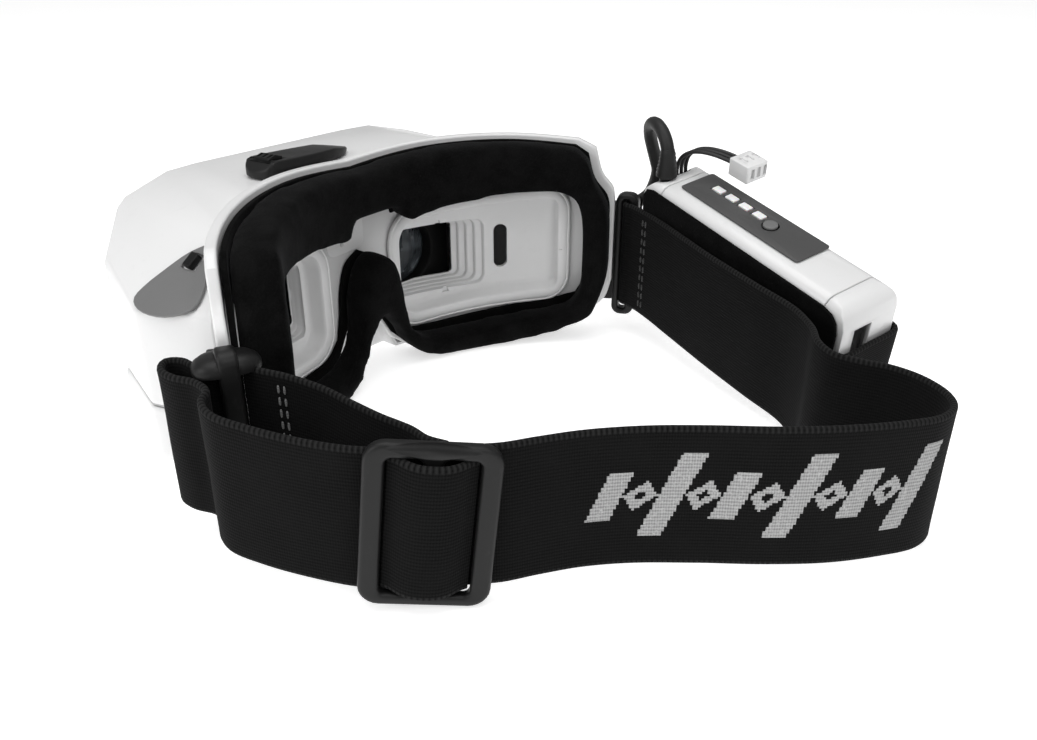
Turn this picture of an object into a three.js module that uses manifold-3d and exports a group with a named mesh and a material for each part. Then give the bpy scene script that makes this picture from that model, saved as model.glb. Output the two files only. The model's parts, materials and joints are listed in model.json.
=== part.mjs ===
// FPV video goggles with a tri-glide head strap and a two-cell battery pack carried on the strap.
// Millimetres. +X is the wearer's right, +Y is the way the wearer looks, +Z is up.
// The goggles stand on the ground plane z = 0.
import * as THREE from 'three';
import { mergeVertices } from 'three/addons/utils/BufferGeometryUtils.js';
import Module from 'manifold-3d';

const wasm = await Module();
wasm.setup();

// ---- driving dimensions -------------------------------------------------------------------
const gap = 0.4;                    // clearance between neighbouring pieces
const face = { centreY: -46, rear: 90, front: 93 };        // faceplate arc in plan
const foam = { rear: 75, front: 89.6 };
const shroud = { flange: 88.2, floor: 95, back: 96.6, wall: 1.6 };
const seamZ = 20;                   // split between the upper and the lower front housing
const wallThickness = 2;
const webbing = { width: 38, thickness: 1.6 };
const eye = { x: 31.5, z: 30 };     // optical centre of the right eye
const pack = { length: 91, thickness: 22, height: 42, wall: 1.6, corner: 4, capLength: 8.8 };
const packPlace = { x: 87.3, y: -10.4, z: 19.7, heading: 253.6, dip: 11.2, roll: 10 };
const buckle = { x: -71.4, y: -61.4, heading: -44.8, lean: 6, width: 30.4, height: 43, depth: 3.2 };
const buckleWindow = { width: 20.8, height: 36.4, bar: 4.5 };
const anchor = { start: 97.6, slotStart: 99, barStart: 102.5, end: 105.6, low: 6.8, high: 52.4, slotHeight: 41.2 };
const originShift = { x: -6.51, y: 28.93 };

const degrees = Math.PI / 180;
const group = new THREE.Group();
group.position.set(originShift.x, originShift.y, 0);

// ---- materials ----------------------------------------------------------------------------
function plastic(color, roughness) {
  return new THREE.MeshStandardMaterial({ color, roughness, metalness: 0 });
}
const white = plastic(0xf2f2f0, 0.35);
const paleGrey = plastic(0xc9c9c6, 0.55);
const midGrey = plastic(0x6a6b6d, 0.45);
const darkGrey = plastic(0x2a2b2d, 0.5);
const black = plastic(0x121213, 0.6);
const velour = plastic(0x0b0b0c, 0.95);
const weave = plastic(0x0f0f10, 0.9);
const glass = plastic(0x20242c, 0.1);
const board = plastic(0x1d4a2c, 0.5);
const metal = new THREE.MeshStandardMaterial({ color: 0x9b9ca0, roughness: 0.35, metalness: 1 });
const gold = new THREE.MeshStandardMaterial({ color: 0xc59a45, roughness: 0.35, metalness: 1 });

// ---- solids -------------------------------------------------------------------------------
function toSolid(geometry) {
  const clean = geometry.clone();
  clean.deleteAttribute('normal');
  clean.deleteAttribute('uv');
  const merged = mergeVertices(clean, 1e-4);
  return new wasm.Manifold(new wasm.Mesh({
    numProp: 3,
    vertProperties: new Float32Array(merged.attributes.position.array),
    triVerts: new Uint32Array(merged.index.array),
  }));
}

function toGeometry(solid) {
  const mesh = solid.getMesh();
  const geometry = new THREE.BufferGeometry();
  geometry.setAttribute('position', new THREE.BufferAttribute(mesh.vertProperties, 3));
  geometry.setIndex(new THREE.BufferAttribute(mesh.triVerts, 1));
  geometry.computeVertexNormals();
  return geometry;
}

function add(name, shape, material, parent = group) {
  const geometry = shape.getMesh ? toGeometry(shape) : shape;
  const mesh = new THREE.Mesh(geometry, material);
  mesh.name = name;
  parent.add(mesh);
  return mesh;
}

function toShape(points) {
  return new THREE.Shape(points.map(([x, y]) => new THREE.Vector2(x, y)));
}

// A prism standing on the XY plane, from z0 to z1.
function prismZ(points, z0, z1) {
  const geometry = new THREE.ExtrudeGeometry(toShape(points), { depth: z1 - z0, bevelEnabled: false });
  geometry.translate(0, 0, z0);
  return toSolid(geometry);
}

// A prism of an X-Z outline, from y0 to y1.
function prismY(points, y0, y1) {
  const geometry = new THREE.ExtrudeGeometry(toShape(points), { depth: y1 - y0, bevelEnabled: false });
  geometry.rotateX(90 * degrees);
  geometry.translate(0, y1, 0);
  return toSolid(geometry);
}

// A prism of a Y-Z outline, from x0 to x1.
function prismX(points, x0, x1) {
  const geometry = new THREE.ExtrudeGeometry(toShape(points), { depth: x1 - x0, bevelEnabled: false });
  geometry.rotateX(90 * degrees);
  geometry.rotateZ(90 * degrees);
  geometry.translate(x0, 0, 0);
  return toSolid(geometry);
}

function box(x0, x1, y0, y1, z0, z1) {
  const geometry = new THREE.BoxGeometry(x1 - x0, y1 - y0, z1 - z0);
  geometry.translate((x0 + x1) / 2, (y0 + y1) / 2, (z0 + z1) / 2);
  return toSolid(geometry);
}

function rod(radius, length, place, axis = 'z', sides = 20) {
  const geometry = new THREE.CylinderGeometry(radius, radius, length, sides);
  if (axis === 'z') geometry.rotateX(90 * degrees);
  if (axis === 'x') geometry.rotateZ(90 * degrees);
  geometry.translate(...place);
  return toSolid(geometry);
}

// Rounded rectangle outline about a centre.
function roundedRectangle(width, height, radius, centreX = 0, centreY = 0, steps = 3) {
  const points = [];
  const corners = [[1, -1, -90], [1, 1, 0], [-1, 1, 90], [-1, -1, 180]];
  for (const [sideX, sideY, start] of corners) {
    for (let i = 0; i <= steps; i += 1) {
      const angle = (start + (90 * i) / steps) * degrees;
      const x = centreX + sideX * (width / 2 - radius) + radius * Math.cos(angle);
      const y = centreY + sideY * (height / 2 - radius) + radius * Math.sin(angle);
      points.push([x, y]);
    }
  }
  return points;
}

// ---- shapes bent round the face -----------------------------------------------------------
// Outlines here are (u, z): u is the distance along the faceplate's rear arc from its middle.
function onArc(radius, u) {
  const angle = u / face.rear;
  return [radius * Math.sin(angle), face.centreY + radius * Math.cos(angle)];
}

function arcBand(inner, outer, reach, z0, z1) {
  const steps = 44;
  const points = [];
  for (let i = 0; i <= steps; i += 1) points.push(onArc(outer, reach - (2 * reach * i) / steps));
  for (let i = 0; i <= steps; i += 1) points.push(onArc(inner, -reach + (2 * reach * i) / steps));
  return prismZ(points, z0, z1);
}

// A prism whose walls run radially out from the face's centre of curvature.
function radialPrism(outline) {
  const area = THREE.ShapeUtils.area(outline.map(([u, z]) => new THREE.Vector2(u, z)));
  const ring = area > 0 ? outline : [...outline].reverse();
  const contour = ring.map(([u, z]) => new THREE.Vector2(u, z));
  const positions = [];
  for (const radius of [30, 300]) {
    for (const [u, z] of ring) positions.push(...onArc(radius, u), z);
  }
  const count = ring.length;
  const indices = [];
  for (const [a, b, c] of THREE.ShapeUtils.triangulateShape(contour, [])) {
    const turn = THREE.ShapeUtils.area([contour[a], contour[b], contour[c]]);
    const [p, q, r] = turn > 0 ? [a, b, c] : [a, c, b];
    indices.push(p, q, r, p + count, r + count, q + count);
  }
  for (let i = 0; i < count; i += 1) {
    const j = (i + 1) % count;
    indices.push(i, j + count, j, i, i + count, j + count);
  }
  const geometry = new THREE.BufferGeometry();
  geometry.setAttribute('position', new THREE.Float32BufferAttribute(positions, 3));
  geometry.setIndex(indices);
  return toSolid(geometry);
}

function mirrored(half) {
  const left = half.filter(([u]) => u > 0.01).map(([u, z]) => [-u, z]).reverse();
  return [...half, ...left];
}

function flipX(points) {
  return points.map(([x, y]) => [-x, y]).reverse();
}

// A smooth run through a few hand-placed points.
function smooth(points, steps) {
  const curve = new THREE.SplineCurve(points.map(([x, y]) => new THREE.Vector2(x, y)));
  return curve.getPoints(steps).map((p) => [p.x, p.y]);
}

// ---- faceplate, foam pad and eye shrouds --------------------------------------------------
function foamOutline() {
  const top = smooth([[0, 70], [30, 72], [60, 71.6], [83, 69.4]], 10);
  const side = smooth([[87.5, 66.5], [90, 58], [95, 51], [95.6, 40], [95.6, 27], [92, 15.5]], 10);
  const lobe = smooth([[88, 9.5], [66, 2.8], [45, 0.6], [30, 0.6], [19, 3], [12, 9]], 12);
  const nose = smooth([[8, 16], [4, 21.5], [0, 23.5]], 4);
  return mirrored([...top, ...side, ...lobe, ...nose]);
}

function foamOpening() {
  const top = smooth([[14.5, 51.8], [30, 54.2], [60, 56.4], [78, 56.8]], 8);
  const side = smooth([[84.5, 54.5], [87, 48], [87.5, 35], [87, 21], [84, 15]], 8);
  const bottom = smooth([[76, 10.8], [50, 7.6], [28, 6.6], [17, 8.5], [11.8, 14]], 8);
  const nose = smooth([[10, 22], [8.8, 31], [5.5, 39], [0, 42.5]], 6);
  return mirrored([[0, 57.8], [13.4, 57.8], ...top, ...side, ...bottom, ...nose]);
}

function plateOutline() {
  const top = smooth([[0, 71.8], [30, 73.6], [60, 73.1], [84, 71]], 8);
  const side = smooth([[90, 68], [92.6, 59], [96.4, 54], [97.2, 48]], 5);
  const low = smooth([[97.2, 20], [94.8, 12.5], [88, 7], [66, 1.6], [45, 0.3], [30, 0.3], [20, 1]], 10);
  const nose = smooth([[13, 6], [7, 16], [3.5, 20], [0, 21.5]], 6);
  return mirrored([...top, ...side, ...low, ...nose]);
}

// Right eye outline grown by a margin round the recess.
function eyeOutline(margin) {
  const corner = 7 + margin;
  const low = { start: 17.5, end: 77, z: 14.8 };
  const rise = 3.4;                 // the outer side sits higher than the nose side
  const shape = roundedRectangle(
    low.end - low.start + 2 * margin, 34 + 2 * margin, corner, (low.start + low.end) / 2, low.z + 17, 4);
  return shape.map(([u, z]) => [u, z + rise * ((u - low.start) / (low.end - low.start) - 0.5)]);
}

function eyeShroud(side) {
  const place = (outline) => radialPrism(side > 0 ? outline : flipX(outline));
  const recess = place(eyeOutline(0));
  const rim = arcBand(shroud.flange, face.rear - gap, 100, 0, 80).intersect(place(eyeOutline(4.8)));
  const tub = arcBand(face.rear - 1, shroud.back, 100, 0, 80).intersect(place(eyeOutline(shroud.wall)));
  const hollow = arcBand(shroud.flange - 1, shroud.floor, 104, -5, 90).intersect(recess);
  let body = rim.add(tub).subtract(hollow);
  const frame = arcBand(shroud.floor - 1.2, shroud.floor + 0.5, 100, 0, 80)
    .intersect(place(roundedRectangle(34, 24.5, 2.5, 34.5, 30.2)))
    .subtract(place(roundedRectangle(28, 21.5, 2, 32.8, 30)));
  body = body.add(frame);
  body = body.subtract(place(roundedRectangle(23, 20, 1.5, 31, 30)));
  return body.subtract(place(roundedRectangle(4.8, 16.4, 2.4, 57.4, 31.4)));
}

const foamRing = arcBand(foam.rear, foam.front, 100, -2, 84)
  .intersect(radialPrism(foamOutline()))
  .subtract(radialPrism(foamOpening()));
add('foam_pad', foamRing, velour);

const eyeOpening = eyeOutline(shroud.wall + gap);
const facePlate = arcBand(face.rear, face.front, 104, -2, 84)
  .intersect(radialPrism(plateOutline()))
  .subtract(radialPrism(eyeOpening))
  .subtract(radialPrism(flipX(eyeOpening)))
  .subtract(radialPrism(roundedRectangle(2.8, 2.8, 1.39, -5.5, 55)))
  .subtract(radialPrism(roundedRectangle(9, 1.1, 0.4, -5.5, 48.8)));
add('faceplate', facePlate, paleGrey);
add('eye_shroud_right', eyeShroud(1), paleGrey);
add('eye_shroud_left', eyeShroud(-1), paleGrey);

// ---- strap anchors ------------------------------------------------------------------------
function strapAnchor(side) {
  const place = (outline) => radialPrism(side > 0 ? outline : flipX(outline));
  const middleZ = (anchor.low + anchor.high) / 2;
  const height = anchor.high - anchor.low;
  const width = anchor.end - anchor.start;
  const ring = arcBand(89.8, 93.8, 112, 0, 70).intersect(
    place(roundedRectangle(width, height, 3.4, anchor.start + width / 2, middleZ)));
  const flange = arcBand(face.front + gap, 95.6, 112, 0, 70).intersect(
    place(roundedRectangle(9.4, height - 8, 3, 94.6, middleZ)));
  const slot = place(
    roundedRectangle(anchor.barStart - anchor.slotStart, anchor.slotHeight, 1, (anchor.barStart + anchor.slotStart) / 2, middleZ));
  return ring.add(flange).subtract(slot);
}
add('strap_anchor_right', strapAnchor(1), darkGrey);
add('strap_anchor_left', strapAnchor(-1), darkGrey);

// ---- front housing ------------------------------------------------------------------------
const plan = [[75.5, 8], [77.4, 27], [81, 38], [73, 66], [60, 79], [30, 83.5]];
const front = [[76, 0], [81.6, 4], [81.6, 48], [57, 66.4], [41, 70.4]];

function inset(points, amount, centre) {
  return points.map(([x, y]) => {
    const away = Math.hypot(x - centre[0], y - centre[1]);
    const scale = (away - amount) / away;
    return [centre[0] + (x - centre[0]) * scale, centre[1] + (y - centre[1]) * scale];
  });
}

function housingBlock(inward) {
  const half = inset(plan, inward, [0, 30]);
  const outline = [...half, ...half.map(([x, y]) => [-x, y]).reverse(), [-50, -6], [50, -6]];
  const frontHalf = inset(front, inward, [0, 32]);
  frontHalf[0][1] = inward;
  const frontOutline = [...frontHalf, ...frontHalf.map(([x, y]) => [-x, y]).reverse()];
  const wrapped = prismZ(outline, inward, 90).intersect(prismY(frontOutline, -20, 100));
  return wrapped.subtract(arcBandFilled(face.front + gap));
}

// Everything on the wearer's side of an arc.
function arcBandFilled(radius) {
  const steps = 40;
  const points = [];
  for (let i = 0; i <= steps; i += 1) points.push(onArc(radius, 125 - (250 * i) / steps));
  return prismZ([...points, [-120, -90], [120, -90]], -5, 95);
}

function noseRelief(grow) {
  const arch = [[17 + grow, -1], [11 + grow, 12], [6 + grow, 19], [0, 22 + grow]];
  const outline = [...arch, ...arch.slice(0, 3).map(([x, z]) => [-x, z]).reverse()];
  return prismY(outline, -10, 52 + grow);
}

const outerBlock = housingBlock(0);
const cavity = housingBlock(wallThickness).add(
  arcBand(face.front + gap - 1, face.front + 8, 82, 0, 80).intersect(housingBlock(wallThickness)));
const shell = outerBlock.subtract(cavity.subtract(noseRelief(wallThickness))).subtract(noseRelief(0));

function slotForKnob(x) {
  return box(x - 11, x + 11, 57, 64, -1, 6);
}
const jack = { y: 28, z: 30 };
const jackHole = rod(5.4, 16, [78, jack.y, jack.z], 'x');
const mediaHole = rod(4.4, 16, [-78, jack.y, 12], 'x');
const bayHole = box(68, 90, 41, 62, 8, 34);
const antennaHole = rod(3.5, 20, [66, 52, 56], 'z');
const openShell = shell
  .subtract(slotForKnob(eye.x))
  .subtract(slotForKnob(-eye.x))
  .subtract(jackHole)
  .subtract(mediaHole)
  .subtract(bayHole)
  .subtract(antennaHole);
// The arch over the nose rises past the seam and belongs to the lower half.
const noseWall = openShell.intersect(noseRelief(wallThickness));
const upperShell = openShell
  .subtract(noseRelief(wallThickness + gap))
  .intersect(box(-120, 120, -60, 120, seamZ + gap / 2, 100));
const lowerShell = openShell.intersect(box(-120, 120, -60, 120, -5, seamZ - gap / 2)).add(noseWall);
add('front_housing_upper', upperShell, white);
add('front_housing_lower', lowerShell, white);

// Snap-in cover of the receiver bay, set in the right side wall.
function bayCover() {
  const wall = outerBlock.subtract(cavity);
  return wall.intersect(box(68, 90, 41 + gap, 62 - gap, 8 + gap, 34 - gap));
}
add('receiver_bay_cover', bayCover(), white);

// ---- trim, control pod and controls on the housing ----------------------------------------
const slope = Math.atan2(66.4 - 48, 81.6 - 57);

// Carries a flat piece laid on the sloping top face: local x runs down the slope.
function slopeGroup(side, along, y) {
  const carrier = new THREE.Group();
  const x = 57 + along * Math.cos(slope);
  const z = 66.4 - along * Math.sin(slope);
  carrier.position.set(side * x, y, z);
  carrier.rotation.y = side * slope;
  group.add(carrier);
  return carrier;
}

// Centre of the switch opening on each panel: distance down the slope, and forward.
const switchAt = { down: -4.2, y: -1.8 };

function panelOutline(side) {
  const outline = smooth([
    [-9.6, -1.4], [-5.6, 2.6], [0.4, 5.8], [6.4, 8.5], [11.2, 9.2], [13.5, 5.6], [13.8, -0.6],
    [12, -8], [7.6, -14.4], [1.6, -13], [-4.4, -8.4], [-8.6, -4.4], [-9.6, -1.4],
  ], 30).slice(0, -1);
  return side > 0 ? outline.reverse() : flipX(outline).reverse();
}

function sidePanel(side) {
  const hole = roundedRectangle(5.2, 6.4, 0.8, side * switchAt.down, switchAt.y);
  return prismZ(panelOutline(side), gap, 1.3).subtract(prismZ(hole, 0, 3));
}

const leftSlope = slopeGroup(-1, 15.4, 31);
const rightSlope = slopeGroup(1, 15.4, 31);
add('side_panel_left', sidePanel(-1), midGrey, leftSlope);
add('side_panel_right', sidePanel(1), midGrey, rightSlope);
add('mode_switch', prismZ(roundedRectangle(4.4, 3.2, 0.5, -switchAt.down, switchAt.y), gap, 2.4), black, leftSlope);
add('record_button', prismZ(roundedRectangle(4.4, 5.6, 0.6, switchAt.down, switchAt.y), 1.1, 2.4), black, rightSlope);

// Control pod: a long low wedge on the middle of the top, with a ribbed rocker at its outer end.
const podGroup = new THREE.Group();
podGroup.position.set(-12, 53.6, 70.4);
podGroup.rotation.z = 8 * degrees;
group.add(podGroup);
function podBody() {
  const outline = smooth([[23, 0], [16, 4.4], [2, 6], [-14, 6], [-17.6, 3], [-17.6, -3],
    [-14, -6], [2, -6], [16, -4.4], [23, 0]], 26).slice(0, -1);
  const profile = [[-19, gap], [24, gap], [23.4, 1.6], [12, 4], [-13.4, 5.6], [-15.4, 5.3], [-19, 1.6]];
  const wedge = prismZ(outline, gap, 9).intersect(prismY(profile, -12, 12));
  return wedge.subtract(box(-15, -8.4, -3.6, 3.6, 1.8, 10));
}
add('control_pod', podBody(), darkGrey, podGroup);
function rockerBody() {
  const profile = [[-14.5, 2.4], [-8.9, 2.4], [-8.9, 5.9], [-11.7, 6.7], [-14.5, 5.9]];
  let body = prismY(profile, -3.1, 3.1);
  for (let i = 0; i < 3; i += 1) {
    const y = -2 + 2 * i;
    body = body.subtract(box(-17, -8, y - 0.3, y + 0.3, 6, 9));
  }
  return body;
}
add('channel_rocker', rockerBody(), black, podGroup);

// ---- optics -------------------------------------------------------------------------------
const optics = { nearY: 53, farY: 68, width: 29, height: 26, lensRadius: 11.4 };

function lensHolder(side) {
  const x = side * eye.x;
  const outer = box(x - optics.width / 2, x + optics.width / 2, optics.nearY, optics.farY,
    eye.z - optics.height / 2, eye.z + optics.height / 2);
  const shoe = box(x - 6, x + 6, 56.5, 64.5, 8.6, eye.z - optics.height / 2 + 1);
  const bore = rod(optics.lensRadius + 0.4, 40, [x, 60, eye.z], 'y', 24);
  const railBore = box(x - 20, x + 20, 58.8, 62.2, 11.3, 14.7);
  return outer.add(shoe).subtract(bore).subtract(railBore);
}

function lensSolid(side) {
  const profile = [];
  const steps = 6;
  for (let i = 0; i <= steps; i += 1) {
    const r = (optics.lensRadius * i) / steps;
    profile.push([r, -3.4 + 1.9 * (i / steps) ** 2]);
  }
  for (let i = steps; i >= 0; i -= 1) {
    const r = (optics.lensRadius * i) / steps;
    profile.push([r, 3.4 - 1.9 * (i / steps) ** 2]);
  }
  const points = profile.map(([r, y]) => new THREE.Vector2(Math.max(r, 0), y));
  const geometry = new THREE.LatheGeometry(points, 24);
  geometry.translate(side * eye.x, 58.4, eye.z);
  return toSolid(geometry);
}

function displayModule(side) {
  const x = side * eye.x;
  return box(x - 11, x + 11, optics.farY + gap, optics.farY + 5, eye.z - 9, eye.z + 9);
}

function ipdKnob(side) {
  const x = side * eye.x;
  const pad = box(x - 5, x + 5, 57.6, 63.4, 0.8, 3);
  const stem = box(x - 2, x + 2, 58.6, 62.4, 2.8, 8.2);
  let body = pad.add(stem);
  for (let i = 0; i < 4; i += 1) {
    body = body.subtract(box(x - 4 + 2.3 * i, x - 3.1 + 2.3 * i, 57, 64, 0, 1.3));
  }
  return body;
}

for (const [word, side] of [['right', 1], ['left', -1]]) {
  add(`lens_holder_${word}`, lensHolder(side), black);
  add(`eyepiece_lens_${word}`, lensSolid(side), glass);
  add(`display_module_${word}`, displayModule(side), midGrey);
  add(`ipd_knob_${word}`, ipdKnob(side), darkGrey);
}
add('optics_rail', rod(1.4, 104, [0, 60.5, 13], 'x', 12).add(box(-55, -51.6, 57, 64, 2.6, 15.4))
  .add(box(51.6, 55, 57, 64, 2.6, 15.4)), metal);

// ---- electronics --------------------------------------------------------------------------
add('main_board', box(-44, 44, 75, 76.6, 23, 58), board);
add('receiver_module', box(56, 66.4, 44, 59, 9, 33), metal);
function antennaSocket() {
  const profile = [[1.4, 0], [4.4, 0], [4.4, 1.4], [3, 1.4], [3, 12], [1.4, 12], [1.4, 0]];
  const geometry = new THREE.LatheGeometry(profile.map(([r, z]) => new THREE.Vector2(r, z)), 16);
  geometry.rotateX(90 * degrees);
  geometry.translate(66, 52, 52.2);
  return toSolid(geometry);
}
add('antenna_socket', antennaSocket(), gold);

// Demisting fan over the nose, behind the vent in the bridge of the faceplate.
const fan = { y0: 56, y1: 64, z: 55.5, size: 22, bore: 9.6 };
add('fan_frame', prismY(roundedRectangle(fan.size, fan.size, 2, 0, fan.z), fan.y0, fan.y1)
  .subtract(rod(fan.bore, 20, [0, (fan.y0 + fan.y1) / 2 - 3, fan.z], 'y', 24))
  .add(box(-fan.bore - 0.5, fan.bore + 0.5, fan.y1 - 1, fan.y1, fan.z - 1.2, fan.z + 1.2)), black);
function fanRotor() {
  let body = rod(4, 4.6, [0, 59.4, fan.z], 'y', 16);
  for (let i = 0; i < 5; i += 1) {
    const geometry = new THREE.BoxGeometry(5.6, 0.8, 3.6);
    geometry.rotateX(0.6);
    geometry.translate(6, 0, 0);
    geometry.rotateY((i * 72) * degrees);
    geometry.translate(0, 59.4, fan.z);
    body = body.add(toSolid(geometry));
  }
  return body;
}
add('fan_rotor', fanRotor(), black);

// Sockets in the side walls.
add('power_socket', rod(4.9, 8.4, [73.2, jack.y, jack.z], 'x')
  .subtract(rod(2.3, 6, [75.4, jack.y, jack.z], 'x', 14)), black);
add('media_socket', rod(3.9, 8.4, [-73.2, jack.y, 12], 'x')
  .subtract(rod(1.8, 6, [-75.4, jack.y, 12], 'x', 14)), black);

// Four screws from below hold the two halves of the housing.
const screwPlaces = [[-66, 34], [66, 34], [-48, 70], [48, 70]];
screwPlaces.forEach(([x, y], i) => {
  const head = rod(2.6, 1.5, [x, y, 3.1], 'z', 12);
  const shank = rod(1.2, 13, [x, y, 9.6], 'z', 10);
  const drive = box(x - 1.8, x + 1.8, y - 0.35, y + 0.35, 2, 3);
  add(`housing_screw_${i + 1}`, head.add(shank).subtract(drive), metal);
});

// ---- webbing ------------------------------------------------------------------------------
// Stations are [x, y, height of the lower edge]; the band stands upright on edge.
function webbingBand(stations, samples, width = webbing.width, thickness = webbing.thickness) {
  const curve = new THREE.CatmullRomCurve3(stations.map((p) => new THREE.Vector3(...p)), false, 'centripetal');
  const points = curve.getSpacedPoints(samples);
  const positions = [];
  points.forEach((p, i) => {
    const before = points[Math.max(i - 1, 0)];
    const after = points[Math.min(i + 1, samples)];
    const along = new THREE.Vector2(after.x - before.x, after.y - before.y).normalize();
    const left = [-along.y * thickness / 2, along.x * thickness / 2];
    positions.push(p.x + left[0], p.y + left[1], p.z);
    positions.push(p.x - left[0], p.y - left[1], p.z);
    positions.push(p.x - left[0], p.y - left[1], p.z + width);
    positions.push(p.x + left[0], p.y + left[1], p.z + width);
  });
  const indices = [0, 1, 2, 0, 2, 3];
  for (let i = 0; i < samples; i += 1) {
    for (let k = 0; k < 4; k += 1) {
      const a = 4 * i + k;
      const b = 4 * i + ((k + 1) % 4);
      indices.push(a, a + 4, b + 4, a, b + 4, b);
    }
  }
  const last = 4 * samples;
  indices.push(last, last + 2, last + 1, last, last + 3, last + 2);
  const geometry = new THREE.BufferGeometry();
  geometry.setAttribute('position', new THREE.Float32BufferAttribute(positions, 3));
  geometry.setIndex(indices);
  return geometry;
}

// Main band: round the right anchor bar, inside the battery, round the back of the head,
// behind the buckle, round the left anchor bar.
const mainBand = [
  [90.6, -7.4, 11.5], [88.8, -6.3, 11.5], [87, -5.1, 11.5], [85.2, -4.8, 11.5],
  [83.3, -5.6, 11.5], [81.2, -6.7, 11.5], [80.1, -8.1, 11.5], [80.3, -10.2, 11.4],
  [79.5, -13.4, 11.2], [78.4, -16.8, 11], [77, -20.6, 10.7], [75.4, -25, 10.2],
  [72, -33.8, 9], [65, -52.2, 6.6], [58, -71, 4.6], [52.1, -86.8, 3.2], [45.1, -95.4, 2.4],
  [38.5, -100.2, 2], [35, -106.2, 1.5], [36, -113.3, 1.2], [38.2, -120.5, 1], [37.4, -128.5, 1],
  [33.2, -136.2, 1], [26.6, -140.2, 1.4], [18.4, -140, 2], [8.6, -135.4, 3], [-3.2, -127.3, 3.9],
  [-14.2, -116.1, 4.1], [-23.6, -103.3, 3.8], [-33, -91.6, 3.4], [-42.4, -82.6, 3.2],
  [-51.4, -76.8, 3.4], [-59.6, -72.2, 3.7], [-66.2, -66.5, 4], [-71.4, -61.4, 4],
  [-76.6, -56.2, 4], [-82.6, -49, 4.4], [-88.6, -38.2, 5.2], [-93.2, -27.6, 6.2],
  [-95.8, -18.6, 7.2], [-94.4, -13, 8], [-91.2, -10.4, 8.4], [-90.8, -5.4, 8.8],
  [-93, 0.6, 9], [-92.8, 6, 9.2], [-89.9, 8.6, 9.4], [-87.4, 5.8, 9.6], [-87, 0.6, 9.6],
  [-86, -3.7, 9.6], [-83.4, -5.2, 9.6], [-80.8, -6.6, 9.6],
];
add('strap_main', webbingBand(mainBand, 112), weave);

// Inner layer: from the left anchor back to the buckle, where it is sewn round the centre bar.
const returnBand = [
  [-79.4, -8.4, 9.6], [-77.9, -12, 9.2], [-74.6, -18.6, 8.4], [-71.6, -27.6, 7.2],
  [-70.4, -36.4, 6], [-69.2, -45, 5], [-67.6, -53, 4.2], [-68, -58.6, 4], [-66.8, -63.4, 4],
];
add('strap_return', webbingBand(returnBand, 20), weave);

// ---- tri-glide buckle ---------------------------------------------------------------------
// Local frame: x along the band, y away from the head, z up, origin on the band's centre line.
const buckleGroup = new THREE.Group();
buckleGroup.position.set(buckle.x, buckle.y, buckle.height / 2 + 1.6);
buckleGroup.rotation.set(0, 0, (buckle.heading + 180) * degrees);
group.add(buckleGroup);
const buckleLean = new THREE.Group();
buckleLean.rotation.y = -buckle.lean * degrees;
buckleGroup.add(buckleLean);

const frameInner = webbing.thickness / 2 + gap;
function buckleFrame() {
  const outline = roundedRectangle(buckle.width, buckle.height, 4, 0, 0, 4);
  const hole = roundedRectangle(buckleWindow.width, buckleWindow.height, 1.5);
  const ring = prismY(outline, frameInner, frameInner + buckle.depth).subtract(prismY(hole, -2, 10));
  const bar = box(-buckleWindow.bar / 2, buckleWindow.bar / 2, frameInner + 0.2, frameInner + 2.8,
    -buckleWindow.height / 2 - 1, buckleWindow.height / 2 + 1);
  return ring.add(bar);
}
add('buckle_frame', buckleFrame(), darkGrey, buckleLean);
const wrapBand = [
  [-9.5, 1.9, 0], [-7.7, 2.9, 0], [-5.2, 5, 0], [-2.8, 6.2, 0], [0, 6.5, 0], [2.8, 6.2, 0],
  [5.2, 5, 0], [7.7, 2.9, 0], [9.5, 1.9, 0],
];
const wrapWidth = 35.4;               // the webbing cups a little between the rails
const wrapGeometry = webbingBand(wrapBand, 18, wrapWidth);
wrapGeometry.translate(0, 0, -wrapWidth / 2);
add('strap_wrap', wrapGeometry, weave, buckleLean);

// ---- battery pack -------------------------------------------------------------------------
// Local frame: x along the pack from its goggle end, y away from the head, z up.
const packGroup = new THREE.Group();
packGroup.position.set(packPlace.x, packPlace.y, packPlace.z);
packGroup.rotation.order = 'ZYX';
packGroup.rotation.set(packPlace.roll * degrees, packPlace.dip * degrees, packPlace.heading * degrees);
group.add(packGroup);
const midY = pack.thickness / 2;
const midZ = pack.height / 2;
const leadExit = { x: 3.6, y: 6.6 };
const wireExit = { x: 2.6, y: 14.1 };
const label = { x0: 12, x1: 65.5, y0: 5.8, y1: 19.8 };
const button = { x: 46.8, y: 12.9 };
const lights = { count: 4, first: 21.4, pitch: 6.3, y: 14.4 };

function packBlock(inward) {
  const section = roundedRectangle(pack.thickness - 2 * inward, pack.height - 2 * inward,
    pack.corner - inward, midY, midZ, 3);
  const side = roundedRectangle(pack.length - 2 * inward, pack.height - 2 * inward,
    6.5 - inward, pack.length / 2, midZ, 3);
  return prismX(section, -1, pack.length + 1).intersect(prismY(side, -5, 40));
}

// The hollow case, from which the body and its two end caps are cut.
function packPiece(x0, x1) {
  return packBlock(0).subtract(packBlock(pack.wall)).intersect(box(x0, x1, -5, 40, -5, 60));
}

function leadCap() {
  const leadHole = rod(2.9, 8, [leadExit.x, leadExit.y, pack.height], 'z', 12);
  const wireHole = box(wireExit.x - 1.6, wireExit.x + 1.6, wireExit.y - 3, wireExit.y + 3, 36, 50);
  return packPiece(-5, pack.capLength - gap).subtract(leadHole).subtract(wireHole);
}
add('battery_lead_cap', leadCap(), white, packGroup);

function packBody() {
  const buttonHole = rod(2.8, 8, [button.x, button.y, pack.height], 'z', 16);
  return packPiece(pack.capLength, pack.length - pack.capLength).subtract(buttonHole);
}
add('battery_body', packBody(), white, packGroup);

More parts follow.
